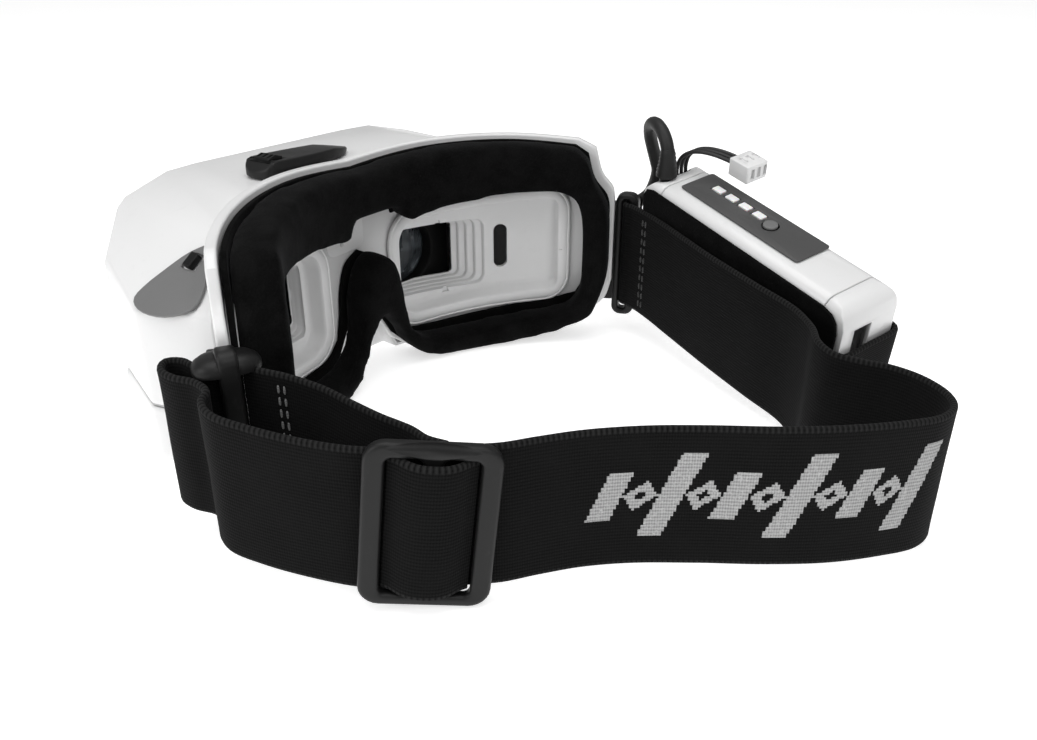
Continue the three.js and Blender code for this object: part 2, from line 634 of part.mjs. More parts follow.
function farCap() {
  const latch = box(pack.length - 6, pack.length + 1, 5, 12, 24, 34);
  return packPiece(pack.length - pack.capLength + gap, 200).subtract(latch);
}
add('battery_end_cap', farCap(), white, packGroup);

function packLabel() {
  const outline = roundedRectangle(label.x1 - label.x0, label.y1 - label.y0, 1,
    (label.x0 + label.x1) / 2, (label.y0 + label.y1) / 2);
  let body = prismZ(outline, pack.height + 0.3, pack.height + 0.8);
  body = body.subtract(rod(2.8, 8, [button.x, button.y, pack.height], 'z', 16));
  for (let i = 0; i < lights.count; i += 1) {
    const window = roundedRectangle(5, 3.6, 0.4, lights.first + lights.pitch * i, lights.y);
    body = body.subtract(prismZ(window, 40, 50));
  }
  return body;
}
add('battery_label', packLabel(), midGrey, packGroup);
for (let i = 0; i < lights.count; i += 1) {
  const outline = roundedRectangle(4.2, 2.8, 0.3, lights.first + lights.pitch * i, lights.y);
  add(`charge_light_${i + 1}`, prismZ(outline, pack.height + 0.3, pack.height + 1), white, packGroup);
}
add('battery_button', rod(2.4, 2.6, [button.x, button.y, pack.height + 0.2], 'z', 16), darkGrey, packGroup);
const cell = { radius: 9.1, length: 65 };
for (const [name, z] of [['battery_cell_lower', 11.3], ['battery_cell_upper', pack.height - 11.3]]) {
  add(name, rod(cell.radius, cell.length, [pack.length / 2 + 1, midY, z], 'x', 20), metal, packGroup);
}
add('battery_board', box(8.4, 9.9, 4, 18, 5, 32), board, packGroup);

// Elastic pocket round the outside of the pack, in the pack's own frame.
const pocketWidth = 27;
const pocketBand = [
  [-2.8, 5.4, 1], [-1.6, 9, 1], [-1.5, 15, 1], [-1.5, 20.6, 1], [-0.6, 23, 1], [1.8, 23.6, 1],
  [7, 23.4, 1], [26, 23.4, 1], [46, 23.4, 1], [66, 23.4, 1], [84, 23.4, 1], [89.8, 23.6, 1],
  [92, 22.8, 1], [92.6, 20, 1], [92.5, 11, 1], [92.5, 1, 1], [91, -2, 1], [88.4, -3.6, 1],
  [85.6, -4.8, 1],
];
add('strap_pocket', webbingBand(pocketBand, 46, pocketWidth, 1.4), weave, packGroup);
// Inner wall of the pocket, between the case and the strap.
const pocketWall = [[3, 34.5], [28, 33], [42, 20], [87, 18], [87, 40.6], [3, 40.6]];
add('pocket_panel', prismY(pocketWall, -1.3, -0.35), weave, packGroup);

// ---- power lead and balance lead ----------------------------------------------------------
function cord(points, diameter, steps, sides) {
  const curve = new THREE.CatmullRomCurve3(points.map((p) => new THREE.Vector3(...p)), false, 'centripetal');
  const ring = [];
  for (let i = 0; i < sides; i += 1) {
    const angle = (2 * Math.PI * i) / sides;
    ring.push([(diameter / 2) * Math.cos(angle), (diameter / 2) * Math.sin(angle)]);
  }
  return new THREE.ExtrudeGeometry(toShape(ring), { steps, extrudePath: curve, bevelEnabled: false });
}

// Leaves the pack upwards, loops back past its goggle end and drops to the side wall.
const loopRoute = [
  [3.6, 6.6, 39.2], [3.7, 6.6, 43.6], [3.5, 6.8, 47.9], [2.4, 7.3, 52.1], [-0.7, 8.1, 55.2], [-5, 9.2, 56.4],
  [-9.3, 10.4, 55.3], [-12.4, 11.7, 52.2], [-13.5, 12.9, 48], [-13, 14, 43], [-12, 14.8, 38.5], [-11.2, 15.2, 34.8],
];
const wallRoute = [
  [99.2, -5.2, 48.6], [99.6, 0.4, 43.6], [100.8, 6.6, 39], [102.4, 13.4, 34.8], [103.5, 19.6, 31.8],
  [102.6, 23.8, 30.8], [100.3, 26.9, 30.2], [97.4, 28, 30], [95.3, 28, 30],
];
const packToGroup = new THREE.Matrix4().compose(packGroup.position, packGroup.quaternion, packGroup.scale);
const powerRoute = loopRoute
  .map((p) => new THREE.Vector3(...p).applyMatrix4(packToGroup).toArray())
  .concat(wallRoute);
add('power_lead', cord(powerRoute, 4.5, 44, 10), black);

function powerPlug() {
  const body = rod(4.4, 10, [87.4, jack.y, jack.z], 'x', 18);
  const collar = rod(3.3, 4, [93, jack.y, jack.z], 'x', 18);
  const pin = rod(1.8, 8, [79, jack.y, jack.z], 'x', 14);
  return body.add(collar).add(pin);
}
add('power_plug', powerPlug(), black);

// Balance lead: three thin wires side by side, in the pack's local frame.
const wireRoute = [
  [2.8, 12.2, 33.6], [2.6, 12.2, 39.4], [2.4, 12.3, 43], [3.2, 12.7, 46.6], [5.8, 13.6, 49.6], [10, 15, 51.4],
  [14.6, 16.8, 51.8], [18.4, 18.4, 51.4], [21.4, 19.4, 51],
];
const wirePitch = 1.9;
for (let i = 0; i < 3; i += 1) {
  const route = wireRoute.map(([x, y, z]) => [x, y + wirePitch * i, z]);
  add(`balance_wire_${i + 1}`, cord(route, 1.3, 18, 8), black, packGroup);
}
add('balance_connector', box(21.8, 30.4, 17, 25.6, 48, 54), white, packGroup);

export default group;
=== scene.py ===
"""FPV goggles with a strap and a battery pack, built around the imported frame. Metres, row frame."""
import json
import math

import bmesh
import bpy
from mathutils import Euler, Matrix, Vector, noise


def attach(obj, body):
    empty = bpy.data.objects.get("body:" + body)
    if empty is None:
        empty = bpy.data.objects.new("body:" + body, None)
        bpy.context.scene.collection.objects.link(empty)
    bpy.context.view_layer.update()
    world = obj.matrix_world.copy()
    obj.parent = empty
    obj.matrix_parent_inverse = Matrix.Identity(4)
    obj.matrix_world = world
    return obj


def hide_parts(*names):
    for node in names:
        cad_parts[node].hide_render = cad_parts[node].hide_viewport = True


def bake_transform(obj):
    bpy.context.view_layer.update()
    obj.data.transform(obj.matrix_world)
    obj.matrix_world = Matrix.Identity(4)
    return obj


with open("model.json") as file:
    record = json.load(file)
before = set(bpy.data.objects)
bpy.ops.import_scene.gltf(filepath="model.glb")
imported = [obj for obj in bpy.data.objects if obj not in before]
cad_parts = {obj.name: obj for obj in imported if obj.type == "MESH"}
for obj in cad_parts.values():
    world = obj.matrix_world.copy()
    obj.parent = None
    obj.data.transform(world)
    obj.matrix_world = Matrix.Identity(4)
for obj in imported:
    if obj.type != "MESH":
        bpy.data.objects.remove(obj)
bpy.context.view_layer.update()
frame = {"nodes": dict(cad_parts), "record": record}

# ---- driving dimensions, in millimetres of the CAD drawing ---------------------------------
MM = 0.001
ORIGIN_SHIFT = Vector((-6.51, 28.93, 0.0))
FACE_CENTRE_Y = -46.0
FACE_RADIUS = 90.0
WEBBING_WIDTH = 38.0
WEBBING_THICKNESS = 1.6
POCKET_WIDTH = 27.0
POCKET_THICKNESS = 1.4
WRAP_WIDTH = 35.4
LEAD_DIAMETER = 4.5
WIRE_DIAMETER = 1.3
WIRE_PITCH = 1.9
JACK = {"y": 28.0, "z": 30.0}
LENS = {"x": 31.5, "z": 30.0, "bore": 11.8}
EYE_OPENING = {"low_u": 17.5, "high_u": 77.0, "low_z": 14.8, "high_z": 48.8}
FOAM_NEAR = 75.0
FOAM_FAR = 87.7
STITCH_LENGTH = 2.3
STITCH_GAP = 0.9
SEAM_MARGIN = 2.5
BODIES = frame["record"]["behaviour"]["bodies"]
BODY_OF = {node: body for body, nodes in BODIES.items() for node in nodes}


def at(x, y, z):
    """A point of the CAD drawing, in millimetres, as a row frame point in metres."""
    return (Vector((x, y, z)) + ORIGIN_SHIFT) * MM


def wrap(u, z, radius):
    """A point on the curved face: arc distance u, height z and radius, in millimetres."""
    angle = u / FACE_RADIUS
    return at(radius * math.sin(angle), FACE_CENTRE_Y + radius * math.cos(angle), z)


PACK = Matrix.Translation(at(87.3, -10.4, 19.7)) @ Euler(
    (math.radians(10), math.radians(11.2), math.radians(253.6)), "XYZ").to_matrix().to_4x4()
BUCKLE = (Matrix.Translation(at(-71.4, -61.4, 23.1)) @ Matrix.Rotation(math.radians(135.2), 4, "Z")
          @ Matrix.Rotation(math.radians(-6), 4, "Y"))
GOGGLES = Matrix.Translation(ORIGIN_SHIFT * MM)


# ---- camera --------------------------------------------------------------------------------
def make_camera():
    data = bpy.data.cameras.new("camera")
    data.lens = 33.33
    data.sensor_width = 36.0
    data.clip_start = 0.01
    data.clip_end = 50.0
    camera = bpy.data.objects.new("camera", data)
    bpy.context.scene.collection.objects.link(camera)
    camera.location = at(-192.2, -190.9, 150.0)
    camera.rotation_euler = (math.radians(90 - 27), 0, math.radians(-49.5))
    bpy.context.scene.camera = camera


make_camera()


# ---- node materials ------------------------------------------------------------------------
def feed(tree, socket, value):
    """Links value to a socket, or sets it when it is a plain number or colour."""
    if isinstance(value, bpy.types.NodeSocket):
        tree.links.new(value, socket)
    else:
        socket.default_value = value


def add_node(tree, kind, inputs=None, **settings):
    node = tree.nodes.new(kind)
    for key, value in settings.items():
        setattr(node, key, value)
    for key, value in (inputs or {}).items():
        feed(tree, node.inputs[key], value)
    return node


def object_coordinates(tree):
    return add_node(tree, "ShaderNodeTexCoord").outputs["Object"]


def noise_value(tree, size_mm, detail=2.0, coordinates=None, roughness=0.5):
    """Noise whose grains are about size_mm across."""
    node = add_node(tree, "ShaderNodeTexNoise", {
        "Vector": coordinates or object_coordinates(tree), "Scale": 1 / (size_mm * MM),
        "Detail": detail, "Roughness": roughness})
    return node.outputs["Fac"]


def remap(tree, value, low, high, from_low=0.0, from_high=1.0):
    node = add_node(tree, "ShaderNodeMapRange", {
        "Value": value, "From Min": from_low, "From Max": from_high, "To Min": low, "To Max": high})
    return node.outputs["Result"]


def mathematics(tree, operation, first, second=0.0, clamp=False):
    node = tree.nodes.new("ShaderNodeMath")
    node.operation = operation
    node.use_clamp = clamp
    for socket, value in zip(node.inputs, (first, second)):
        feed(tree, socket, value)
    return node.outputs[0]


def times(tree, first, second):
    return mathematics(tree, "MULTIPLY", first, second)


def plus(tree, first, second):
    return mathematics(tree, "ADD", first, second)


def minus(tree, first, second):
    return mathematics(tree, "SUBTRACT", first, second)


def mix_colour(tree, amount, first, second):
    node = add_node(tree, "ShaderNodeMix", data_type="RGBA")
    for index, value in ((0, amount), (6, first), (7, second)):
        feed(tree, node.inputs[index], value)
    return node.outputs[2]


def bump(tree, height, distance_mm, strength=1.0, normal=None):
    inputs = {"Height": height, "Distance": distance_mm * MM, "Strength": strength}
    if normal is not None:
        inputs["Normal"] = normal
    return add_node(tree, "ShaderNodeBump", inputs).outputs["Normal"]


def new_material(name, **sockets):
    """A Principled material; names of its sockets are given with underscores."""
    material = bpy.data.materials.new(name)
    material.use_nodes = True
    tree = material.node_tree
    surface = tree.nodes["Principled BSDF"]
    for key, value in sockets.items():
        surface.inputs[key.replace("_", " ")].default_value = value
    return material, tree, surface


def grey(level, warmth=0.0):
    return (level * (1 + warmth), level, level * (1 - warmth), 1)


def moulded(name, level, roughness, grain_mm, grain_depth, spread=0.05, warmth=0.0, **sockets):
    """Moulded plastic: fine spark grain, faint flow marks, dust that lightens or dulls it."""
    material, tree, surface = new_material(name, **sockets)
    broad = noise_value(tree, 17, 3)
    fine = noise_value(tree, grain_mm, 2, roughness=0.6)
    scuffs = noise_value(tree, 3.1, 5, roughness=0.7)
    colour = mix_colour(tree, broad, grey(level * (1 - spread), warmth), grey(level * (1 + spread), warmth))
    speck = remap(tree, scuffs, 0, 0.6, 0.58, 0.8)
    dusty = mix_colour(tree, speck, colour, grey(min(level * 0.9 + 0.012, 0.9), warmth))
    tree.links.new(dusty, surface.inputs["Base Color"])
    dull = plus(tree, remap(tree, broad, -0.05, 0.05), remap(tree, scuffs, -0.05, 0.09))
    total = mathematics(tree, "ADD", dull, roughness, clamp=True)
    tree.links.new(total, surface.inputs["Roughness"])
    flow = bump(tree, broad, 0.05, 0.25)
    tree.links.new(bump(tree, fine, grain_depth, 0.8, flow), surface.inputs["Normal"])
    return material


def velour():
    """Brushed velour over foam: short pile with a nap that shifts in soft patches."""
    material, tree, surface = new_material(
        "foam_cover", Roughness=0.95, Specular_IOR_Level=0.05, Sheen_Weight=0.05, Sheen_Roughness=0.4,
        Sheen_Tint=(0.5, 0.5, 0.52, 1))
    nap = noise_value(tree, 7, 3, roughness=0.6)
    pile = noise_value(tree, 0.55, 3, roughness=0.7)
    lint = noise_value(tree, 1.3, 4, roughness=0.8)
    base = mix_colour(tree, remap(tree, nap, 0, 1, 0.35, 0.65), grey(0.0022), grey(0.005))
    fuzzy = mix_colour(tree, remap(tree, pile, 0, 0.6, 0.45, 0.8), base, grey(0.009))
    dotted = mix_colour(tree, remap(tree, lint, 0, 0.5, 0.68, 0.8), fuzzy, grey(0.022))
    tree.links.new(dotted, surface.inputs["Base Color"])
    soft = bump(tree, nap, 0.5, 0.5)
    tree.links.new(bump(tree, pile, 0.16, 0.9, soft), surface.inputs["Normal"])
    return material


def strap_coordinates(tree):
    """Distance along the webbing and across it, in metres, from the UV map."""
    split = add_node(tree, "ShaderNodeSeparateXYZ", {
        "Vector": add_node(tree, "ShaderNodeTexCoord").outputs["UV"]})
    return split.outputs["X"], split.outputs["Y"]


def ridges(tree, distance, pitch_mm):
    """A smooth 0 to 1 ridge every pitch_mm."""
    turn = times(tree, distance, 2 * math.pi / (pitch_mm * MM))
    return remap(tree, mathematics(tree, "SINE", turn), 0, 1, -1, 1)


def weave_height(tree, along, across):
    """Ribbed elastic: fine ribs that run along the strap, crossed by closer weft threads."""
    ribs = ridges(tree, across, 0.92)
    weft = ridges(tree, along, 0.62)
    return plus(tree, times(tree, ribs, 0.6),
                       times(tree, weft, 0.4))


def snapped(tree, value, step_mm):
    return mathematics(tree, "SNAP", value, step_mm * MM)


MOTIF = {
    "start": 0.1735, "pitch": 0.0146, "count": 5, "middle": 0.0195, "height": 0.0225, "stroke": 0.0058,
    "slant": 0.42, "shorter": 0.0045, "lozenge": 0.0041, "eye": 0.0014, "thread_mm": 0.62}


def motif_mask(tree, along, across):
    """A woven-in band of slanting bars and small lozenges: 1 on the light yarn."""
    x = snapped(tree, along, MOTIF["thread_mm"])
    y = snapped(tree, minus(tree, across, MOTIF["middle"]), MOTIF["thread_mm"])
    slanted = plus(tree, x, times(tree, y, MOTIF["slant"]))
    local = minus(tree, slanted, MOTIF["start"])
    cell = mathematics(tree, "FLOOR", mathematics(tree, "DIVIDE", local, MOTIF["pitch"]))
    phase = minus(tree, local, times(tree, cell, MOTIF["pitch"]))
    odd = mathematics(tree, "MODULO", cell, 2.0)
    height = plus(tree, MOTIF["height"] / 2, times(tree, odd, -MOTIF["shorter"]))
    rise = mathematics(tree, "ABSOLUTE", y)
    bar = mathematics(tree, "MULTIPLY",
                      mathematics(tree, "LESS_THAN", phase, MOTIF["stroke"]),
                      mathematics(tree, "LESS_THAN", rise, height))
    gap_middle = (MOTIF["pitch"] + MOTIF["stroke"]) / 2
    from_middle = mathematics(tree, "ABSOLUTE", minus(tree, phase, gap_middle))
    size = plus(tree, from_middle, rise)
    lozenge = mathematics(tree, "LESS_THAN", size, MOTIF["lozenge"])
    hollow = mathematics(tree, "GREATER_THAN", size, MOTIF["eye"])
    lozenge = times(tree, lozenge, hollow)
    shape = mathematics(tree, "MAXIMUM", bar, lozenge)
    first = mathematics(tree, "GREATER_THAN", cell, -0.5)
    last = mathematics(tree, "LESS_THAN", local, MOTIF["pitch"] * MOTIF["count"] + MOTIF["stroke"])
    return times(tree, shape, times(tree, first, last))


def webbing(name, width_mm, motif=False):
    """Black ribbed elastic with firm selvedges, some lint and, on the main strap, a woven motif; its colour
    carries painted shade in the weave grooves and painted highlights on the rib and selvedge-loop crests.
    """
    material, tree, surface = new_material(
        name, Roughness=0.88, Specular_IOR_Level=0.07, Sheen_Weight=0.03, Sheen_Roughness=0.5,
        Sheen_Tint=(0.6, 0.6, 0.62, 1))
    along, across = strap_coordinates(tree)
    height = weave_height(tree, along, across)
    patches = noise_value(tree, 9, 3)
    fuzz = noise_value(tree, 0.8, 4, roughness=0.75)
    # painted shade and highlight: the yarn colour follows the weave height, darker in the grooves and
    # lighter on the crests
    groove_shaded_yarn = mix_colour(tree, height, grey(0.0015), grey(0.0085))
    worn = mix_colour(tree, remap(tree, patches, 0, 0.55, 0.4, 0.75), groove_shaded_yarn, grey(0.007))
    linted = mix_colour(tree, remap(tree, fuzz, 0, 0.4, 0.63, 0.8), worn, grey(0.025))
    edge_distance = mathematics(tree, "ABSOLUTE", minus(tree, across, width_mm * MM / 2))
    edge = remap(tree, edge_distance, 0, 1, (width_mm / 2 - 1.5) * MM, (width_mm / 2 - 0.9) * MM)
    loops = times(tree, edge, ridges(tree, along, 1.25))
    # painted highlight: the selvedge loops are lighter on their crests, where their bump stands up
    colour = mix_colour(tree, times(tree, loops, 0.5), linted, grey(0.035))
    if motif:
        mask = motif_mask(tree, along, across)
        # the motif's light yarn, with painted shade: darker in the weave grooves, lighter on the crests
        light = mix_colour(tree, height, grey(0.2), grey(0.43))
        speckled = mix_colour(tree, remap(tree, fuzz, 0, 1, 0.52, 0.7), light, grey(0.5))
        colour = mix_colour(tree, mask, colour, speckled)
    tree.links.new(colour, surface.inputs["Base Color"])
    woven = bump(tree, plus(tree, height, times(tree, loops, 0.8)), 0.14, 0.8)
    tree.links.new(bump(tree, fuzz, 0.06, 0.6, woven), surface.inputs["Normal"])
    return material


def rubber_cable(name, level, roughness):
    material, tree, surface = new_material(name, Specular_IOR_Level=0.35)
    broad = noise_value(tree, 8, 3)
    fine = noise_value(tree, 0.35, 2)
    colour = mix_colour(tree, broad, grey(level * 0.75), grey(level * 1.3))
    chalk = mix_colour(tree, remap(tree, noise_value(tree, 1.9, 4, roughness=0.7), 0, 0.5, 0.6, 0.8),
                       colour, grey(level + 0.03))
    tree.links.new(chalk, surface.inputs["Base Color"])
    tree.links.new(remap(tree, broad, roughness - 0.08, roughness + 0.1), surface.inputs["Roughness"])
    tree.links.new(bump(tree, fine, 0.02, 0.6), surface.inputs["Normal"])
    return material


def coated_glass():
    """Lens glass with a faint coating tint; slight smears change its roughness."""
    material, tree, surface = new_material(
        "lens_glass", IOR=1.5, Transmission_Weight=0.92, Coat_Weight=0.3, Coat_Roughness=0.03,
        Coat_IOR=1.5)
    smears = noise_value(tree, 5, 3)
    tint = mix_colour(tree, smears, (0.3, 0.34, 0.38, 1), (0.36, 0.4, 0.43, 1))
    tree.links.new(tint, surface.inputs["Base Color"])
    tree.links.new(remap(tree, smears, 0.01, 0.07, 0.3, 0.8), surface.inputs["Roughness"])
    return material


def brushed(name, colour, roughness):
    """Metal with fine drawn lines and a duller patch here and there."""
    material, tree, surface = new_material(name, Metallic=1.0)
    stretched = add_node(tree, "ShaderNodeMapping", {
        "Vector": object_coordinates(tree), "Scale": (1.0, 12.0, 12.0)}).outputs["Vector"]
    lines = noise_value(tree, 3.0, 4, stretched, 0.7)
    patches = noise_value(tree, 6, 3)
    dark = tuple(c * 0.7 for c in colour) + (1,)
    tree.links.new(mix_colour(tree, patches, dark, tuple(colour) + (1,)), surface.inputs["Base Color"])
    tree.links.new(remap(tree, lines, roughness - 0.08, roughness + 0.16), surface.inputs["Roughness"])
    tree.links.new(bump(tree, lines, 0.01, 0.5), surface.inputs["Normal"])
    return material


def circuit_board():
    """Solder mask with rows of pads and the faint relief of copper tracks."""
    material, tree, surface = new_material("circuit_board", Roughness=0.4, Coat_Weight=0.3)
    split = add_node(tree, "ShaderNodeSeparateXYZ", {"Vector": object_coordinates(tree)})
    first = ridges(tree, split.outputs["X"], 2.5)
    second = ridges(tree, split.outputs["Z"], 2.5)
    pads = times(tree, mathematics(tree, "GREATER_THAN", first, 0.78),
                       mathematics(tree, "GREATER_THAN", second, 0.78))
    mask = mix_colour(tree, noise_value(tree, 4, 3), (0.006, 0.05, 0.02, 1), (0.012, 0.085, 0.035, 1))
    tree.links.new(mix_colour(tree, pads, mask, (0.55, 0.5, 0.32, 1)), surface.inputs["Base Color"])
    tracks = add_node(tree, "ShaderNodeTexVoronoi", {
        "Vector": object_coordinates(tree), "Scale": 420.0}, distance="MANHATTAN").outputs["Distance"]
    tree.links.new(bump(tree, plus(tree, tracks, pads), 0.05, 0.5), surface.inputs["Normal"])
    return material


def light_window():
    """Milky light window over an unlit lamp."""
    material, tree, surface = new_material(
        "light_window", Roughness=0.25, Subsurface_Weight=0.2, Subsurface_Scale=0.001, Coat_Weight=0.5)
    cloud = noise_value(tree, 1.2, 3)
    tree.links.new(mix_colour(tree, cloud, grey(0.8), grey(0.93)), surface.inputs["Base Color"])
    tree.links.new(bump(tree, cloud, 0.02, 0.4), surface.inputs["Normal"])
    return material


def stitch_thread(name, level):
    material, tree, surface = new_material(name, Roughness=0.7, Sheen_Weight=0.3)
    twist = ridges(tree, add_node(tree, "ShaderNodeSeparateXYZ", {
        "Vector": object_coordinates(tree)}).outputs["Z"], 0.45)
    # painted shade and highlight: the thread colour follows its twist ridges, darker in the grooves,
    # lighter on the crests
    colour = mix_colour(tree, twist, grey(level * 0.5), grey(level * 1.3))
    tree.links.new(colour, surface.inputs["Base Color"])
    tree.links.new(bump(tree, twist, 0.05, 0.7), surface.inputs["Normal"])
    return material


FINISH = {
    "white_shell": moulded("white_shell", 0.76, 0.3, 0.9, 0.006, 0.012, Coat_Weight=0.25,
                           Coat_Roughness=0.12),
    "pale_plastic": moulded("pale_plastic", 0.84, 0.5, 0.42, 0.02, 0.03),
    "mid_grey": moulded("mid_grey", 0.15, 0.42, 0.35, 0.014, 0.04),
    "label_grey": moulded("label_grey", 0.06, 0.4, 0.3, 0.012, 0.06),
    "dark_plastic": moulded("dark_plastic", 0.007, 0.42, 0.3, 0.016, 0.1, Specular_IOR_Level=0.28),
    "black_plastic": moulded("black_plastic", 0.004, 0.45, 0.3, 0.014, 0.12, Specular_IOR_Level=0.2),
    "foam_cover": velour(),
    "webbing": webbing("webbing", WEBBING_WIDTH),
    "main_webbing": webbing("main_webbing", WEBBING_WIDTH, motif=True),
    "pocket_webbing": webbing("pocket_webbing", POCKET_WIDTH),
    "wrap_webbing": webbing("wrap_webbing", WRAP_WIDTH),
    "lens_glass": coated_glass(),
    "circuit_board": circuit_board(),
    "steel": brushed("steel", (0.56, 0.56, 0.57), 0.32),
    "gold_plate": brushed("gold_plate", (0.75, 0.54, 0.24), 0.28),
    "cable": rubber_cable("cable", 0.012, 0.5),
    "wire": rubber_cable("wire", 0.02, 0.45),
    "light_window": light_window(),
    "thread_dark": stitch_thread("thread_dark", 0.016),
    "thread_light": stitch_thread("thread_light", 0.16),
}


# ---- mesh helpers --------------------------------------------------------------------------
def link(obj):
    bpy.context.scene.collection.objects.link(obj)
    return obj


def mesh_object(name, vertices, faces):
    mesh = bpy.data.meshes.new(name)
    mesh.from_pydata([tuple(v) for v in vertices], [], faces)
    obj = link(bpy.data.objects.new(name, mesh))
    tidy_normals(obj)
    return obj


def tidy_normals(obj):
    work = bmesh.new()
    work.from_mesh(obj.data)
    bmesh.ops.recalc_face_normals(work, faces=work.faces)
    work.to_mesh(obj.data)
    work.free()


def soften(obj, angle=38):
    """Smooth shading that keeps edges sharper than angle."""
    obj.data.shade_smooth()
    obj.data.set_sharp_from_angle(angle=math.radians(angle))
    return obj


def apply_modifiers(obj):
    graph = bpy.context.evaluated_depsgraph_get()
    mesh = bpy.data.meshes.new_from_object(obj.evaluated_get(graph))
    obj.modifiers.clear()
    obj.data = mesh
    return obj


def dress(obj, finish, body, *nodes):
    """Gives a piece its material and its body, and hides the CAD nodes that it stands for."""
    obj.data.materials.clear()
    obj.data.materials.append(FINISH[finish])
    if nodes:
        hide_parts(*nodes)
    if body:
        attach(obj, body)
    return obj


def clean_copy(node, name):
    """A copy of a CAD node's mesh with shared vertices and flat areas as single faces."""
    obj = link(bpy.data.objects.new(name, frame["nodes"][node].data.copy()))
    work = bmesh.new()
    work.from_mesh(obj.data)
    bmesh.ops.remove_doubles(work, verts=work.verts, dist=0.00001)
    bmesh.ops.dissolve_limit(work, angle_limit=math.radians(1.2), verts=work.verts, edges=work.edges,
                             delimit={"NORMAL"})
    bmesh.ops.recalc_face_normals(work, faces=work.faces)
    work.to_mesh(obj.data)
    work.free()
    return obj


def bevel(obj, width_mm, segments=3, angle=32):
    modifier = obj.modifiers.new("edges", "BEVEL")
    modifier.width = width_mm * MM
    modifier.segments = segments
    modifier.limit_method = "ANGLE"
    modifier.angle_limit = math.radians(angle)
    modifier.use_clamp_overlap = False
    modifier.harden_normals = False
    return apply_modifiers(obj)


def refine(node, finish, width_mm, segments=3, angle=32):
    """A CAD node again, with rounded edges and soft shading."""
    obj = clean_copy(node, node + "_piece")
    bevel(obj, width_mm, segments, angle)
    soften(obj)
    return dress(obj, finish, BODY_OF[node], node)


def loft(name, rings, closed=False):
    """A closed skin over rings of equal length; closed joins the last ring to the first."""
    count = len(rings[0])
    vertices = [point for ring in rings for point in ring]
    faces = []
    spans = len(rings) if closed else len(rings) - 1
    for a in range(spans):
        b = (a + 1) % len(rings)
        for i in range(count):
            j = (i + 1) % count
            faces.append((a * count + i, a * count + j, b * count + j, b * count + i))
    if not closed:
        faces.append(tuple(range(count))[::-1])
        faces.append(tuple((len(rings) - 1) * count + i for i in range(count)))
    return mesh_object(name, vertices, faces)


def smooth_path(stations, step_mm):
    """Centripetal Catmull-Rom through the stations, sampled evenly about every step_mm."""
    points = [Vector(s) for s in stations]
    points = [2 * points[0] - points[1]] + points + [2 * points[-1] - points[-2]]
    dense = []
    for p0, p1, p2, p3 in zip(points, points[1:], points[2:], points[3:]):
        knots = [0.0]
        for a, b in ((p0, p1), (p1, p2), (p2, p3)):
            knots.append(knots[-1] + max((b - a).length, 1e-6) ** 0.5)
        for i in range(12):
            t = knots[1] + (knots[2] - knots[1]) * i / 12
            dense.append(catmull_point((p0, p1, p2, p3), knots, t))
    dense.append(points[-2])
    return even_points(dense, step_mm)


def catmull_point(points, knots, t):
    """The point at t, between the second and third knots, by repeated blending of neighbours."""
    level = list(points)
    for spans in (((0, 1), (1, 2), (2, 3)), ((0, 2), (1, 3)), ((1, 2),)):
        blended = []
        for a, b, (first, last) in zip(level, level[1:], spans):
            width = knots[last] - knots[first]
            blended.append(a * ((knots[last] - t) / width) + b * ((t - knots[first]) / width))
        level = blended
    return level[0]


def even_points(dense, step):
    lengths = [0.0]
    for a, b in zip(dense, dense[1:]):
        lengths.append(lengths[-1] + (b - a).length)
    count = max(int(round(lengths[-1] / step)), 2)
    result = []
    j = 0
    for i in range(count + 1):
        target = lengths[-1] * i / count
        while j < len(lengths) - 2 and lengths[j + 1] < target:
            j += 1
        span = lengths[j + 1] - lengths[j]
        share = 0 if span == 0 else (target - lengths[j]) / span
        result.append(dense[j].lerp(dense[j + 1], share))
    return result


# ---- cords: power lead and balance wires ---------------------------------------------------
LOOP_ROUTE = [
    (3.6, 6.6, 39.2), (3.7, 6.6, 43.6), (3.5, 6.8, 47.9), (2.4, 7.3, 52.1), (-0.7, 8.1, 55.2),
    (-5, 9.2, 56.4), (-9.3, 10.4, 55.3), (-12.4, 11.7, 52.2), (-13.5, 12.9, 48), (-13, 14, 43),
    (-12, 14.8, 38.5), (-11.2, 15.2, 34.8)]
WALL_ROUTE = [
    (99.2, -5.2, 48.6), (99.6, 0.4, 43.6), (100.8, 6.6, 39), (102.4, 13.4, 34.8), (103.5, 19.6, 31.8),
    (102.6, 23.8, 30.8), (100.3, 26.9, 30.2), (97.4, 28, 30), (95.3, 28, 30)]
WIRE_ROUTE = [
    (2.8, 12.2, 33.6), (2.6, 12.2, 39.4), (2.4, 12.3, 43), (3.2, 12.7, 46.6), (5.8, 13.6, 49.6),
    (10, 15, 51.4), (14.6, 16.8, 51.8), (18.4, 18.4, 51.4), (21.4, 19.4, 51)]


def in_frame(matrix, point_mm):
    return matrix @ (Vector(point_mm) * MM)


def cord_curve(name, points, diameter_mm):
    data = bpy.data.curves.new(name, "CURVE")
    data.dimensions = "3D"
    data.bevel_depth = diameter_mm * MM / 2
    data.bevel_resolution = 5
    data.use_fill_caps = True
    spline = data.splines.new("POLY")
    spline.points.add(len(points) - 1)
    for target, point in zip(spline.points, points):
        target.co = (*point, 1)
    spline.use_smooth = True
    return link(bpy.data.objects.new(name, data))


def declare_cord(obj, points, finish, diameter_mm, nodes, **facts):
    dress(obj, finish, "goggles", *nodes)


def power_lead(plug):
    corners = [in_frame(PACK, p) for p in LOOP_ROUTE] + [at(*p) for p in WALL_ROUTE]
    points = smooth_path(corners, 1.2 * MM)
    lead = cord_curve("power_lead_cord", points, LEAD_DIAMETER)
    declare_cord(lead, points, "cable", LEAD_DIAMETER, ["power_lead"], far_end="plug", stiffness="medium",
                 lay="loose", with_pieces=[plug])
    return points


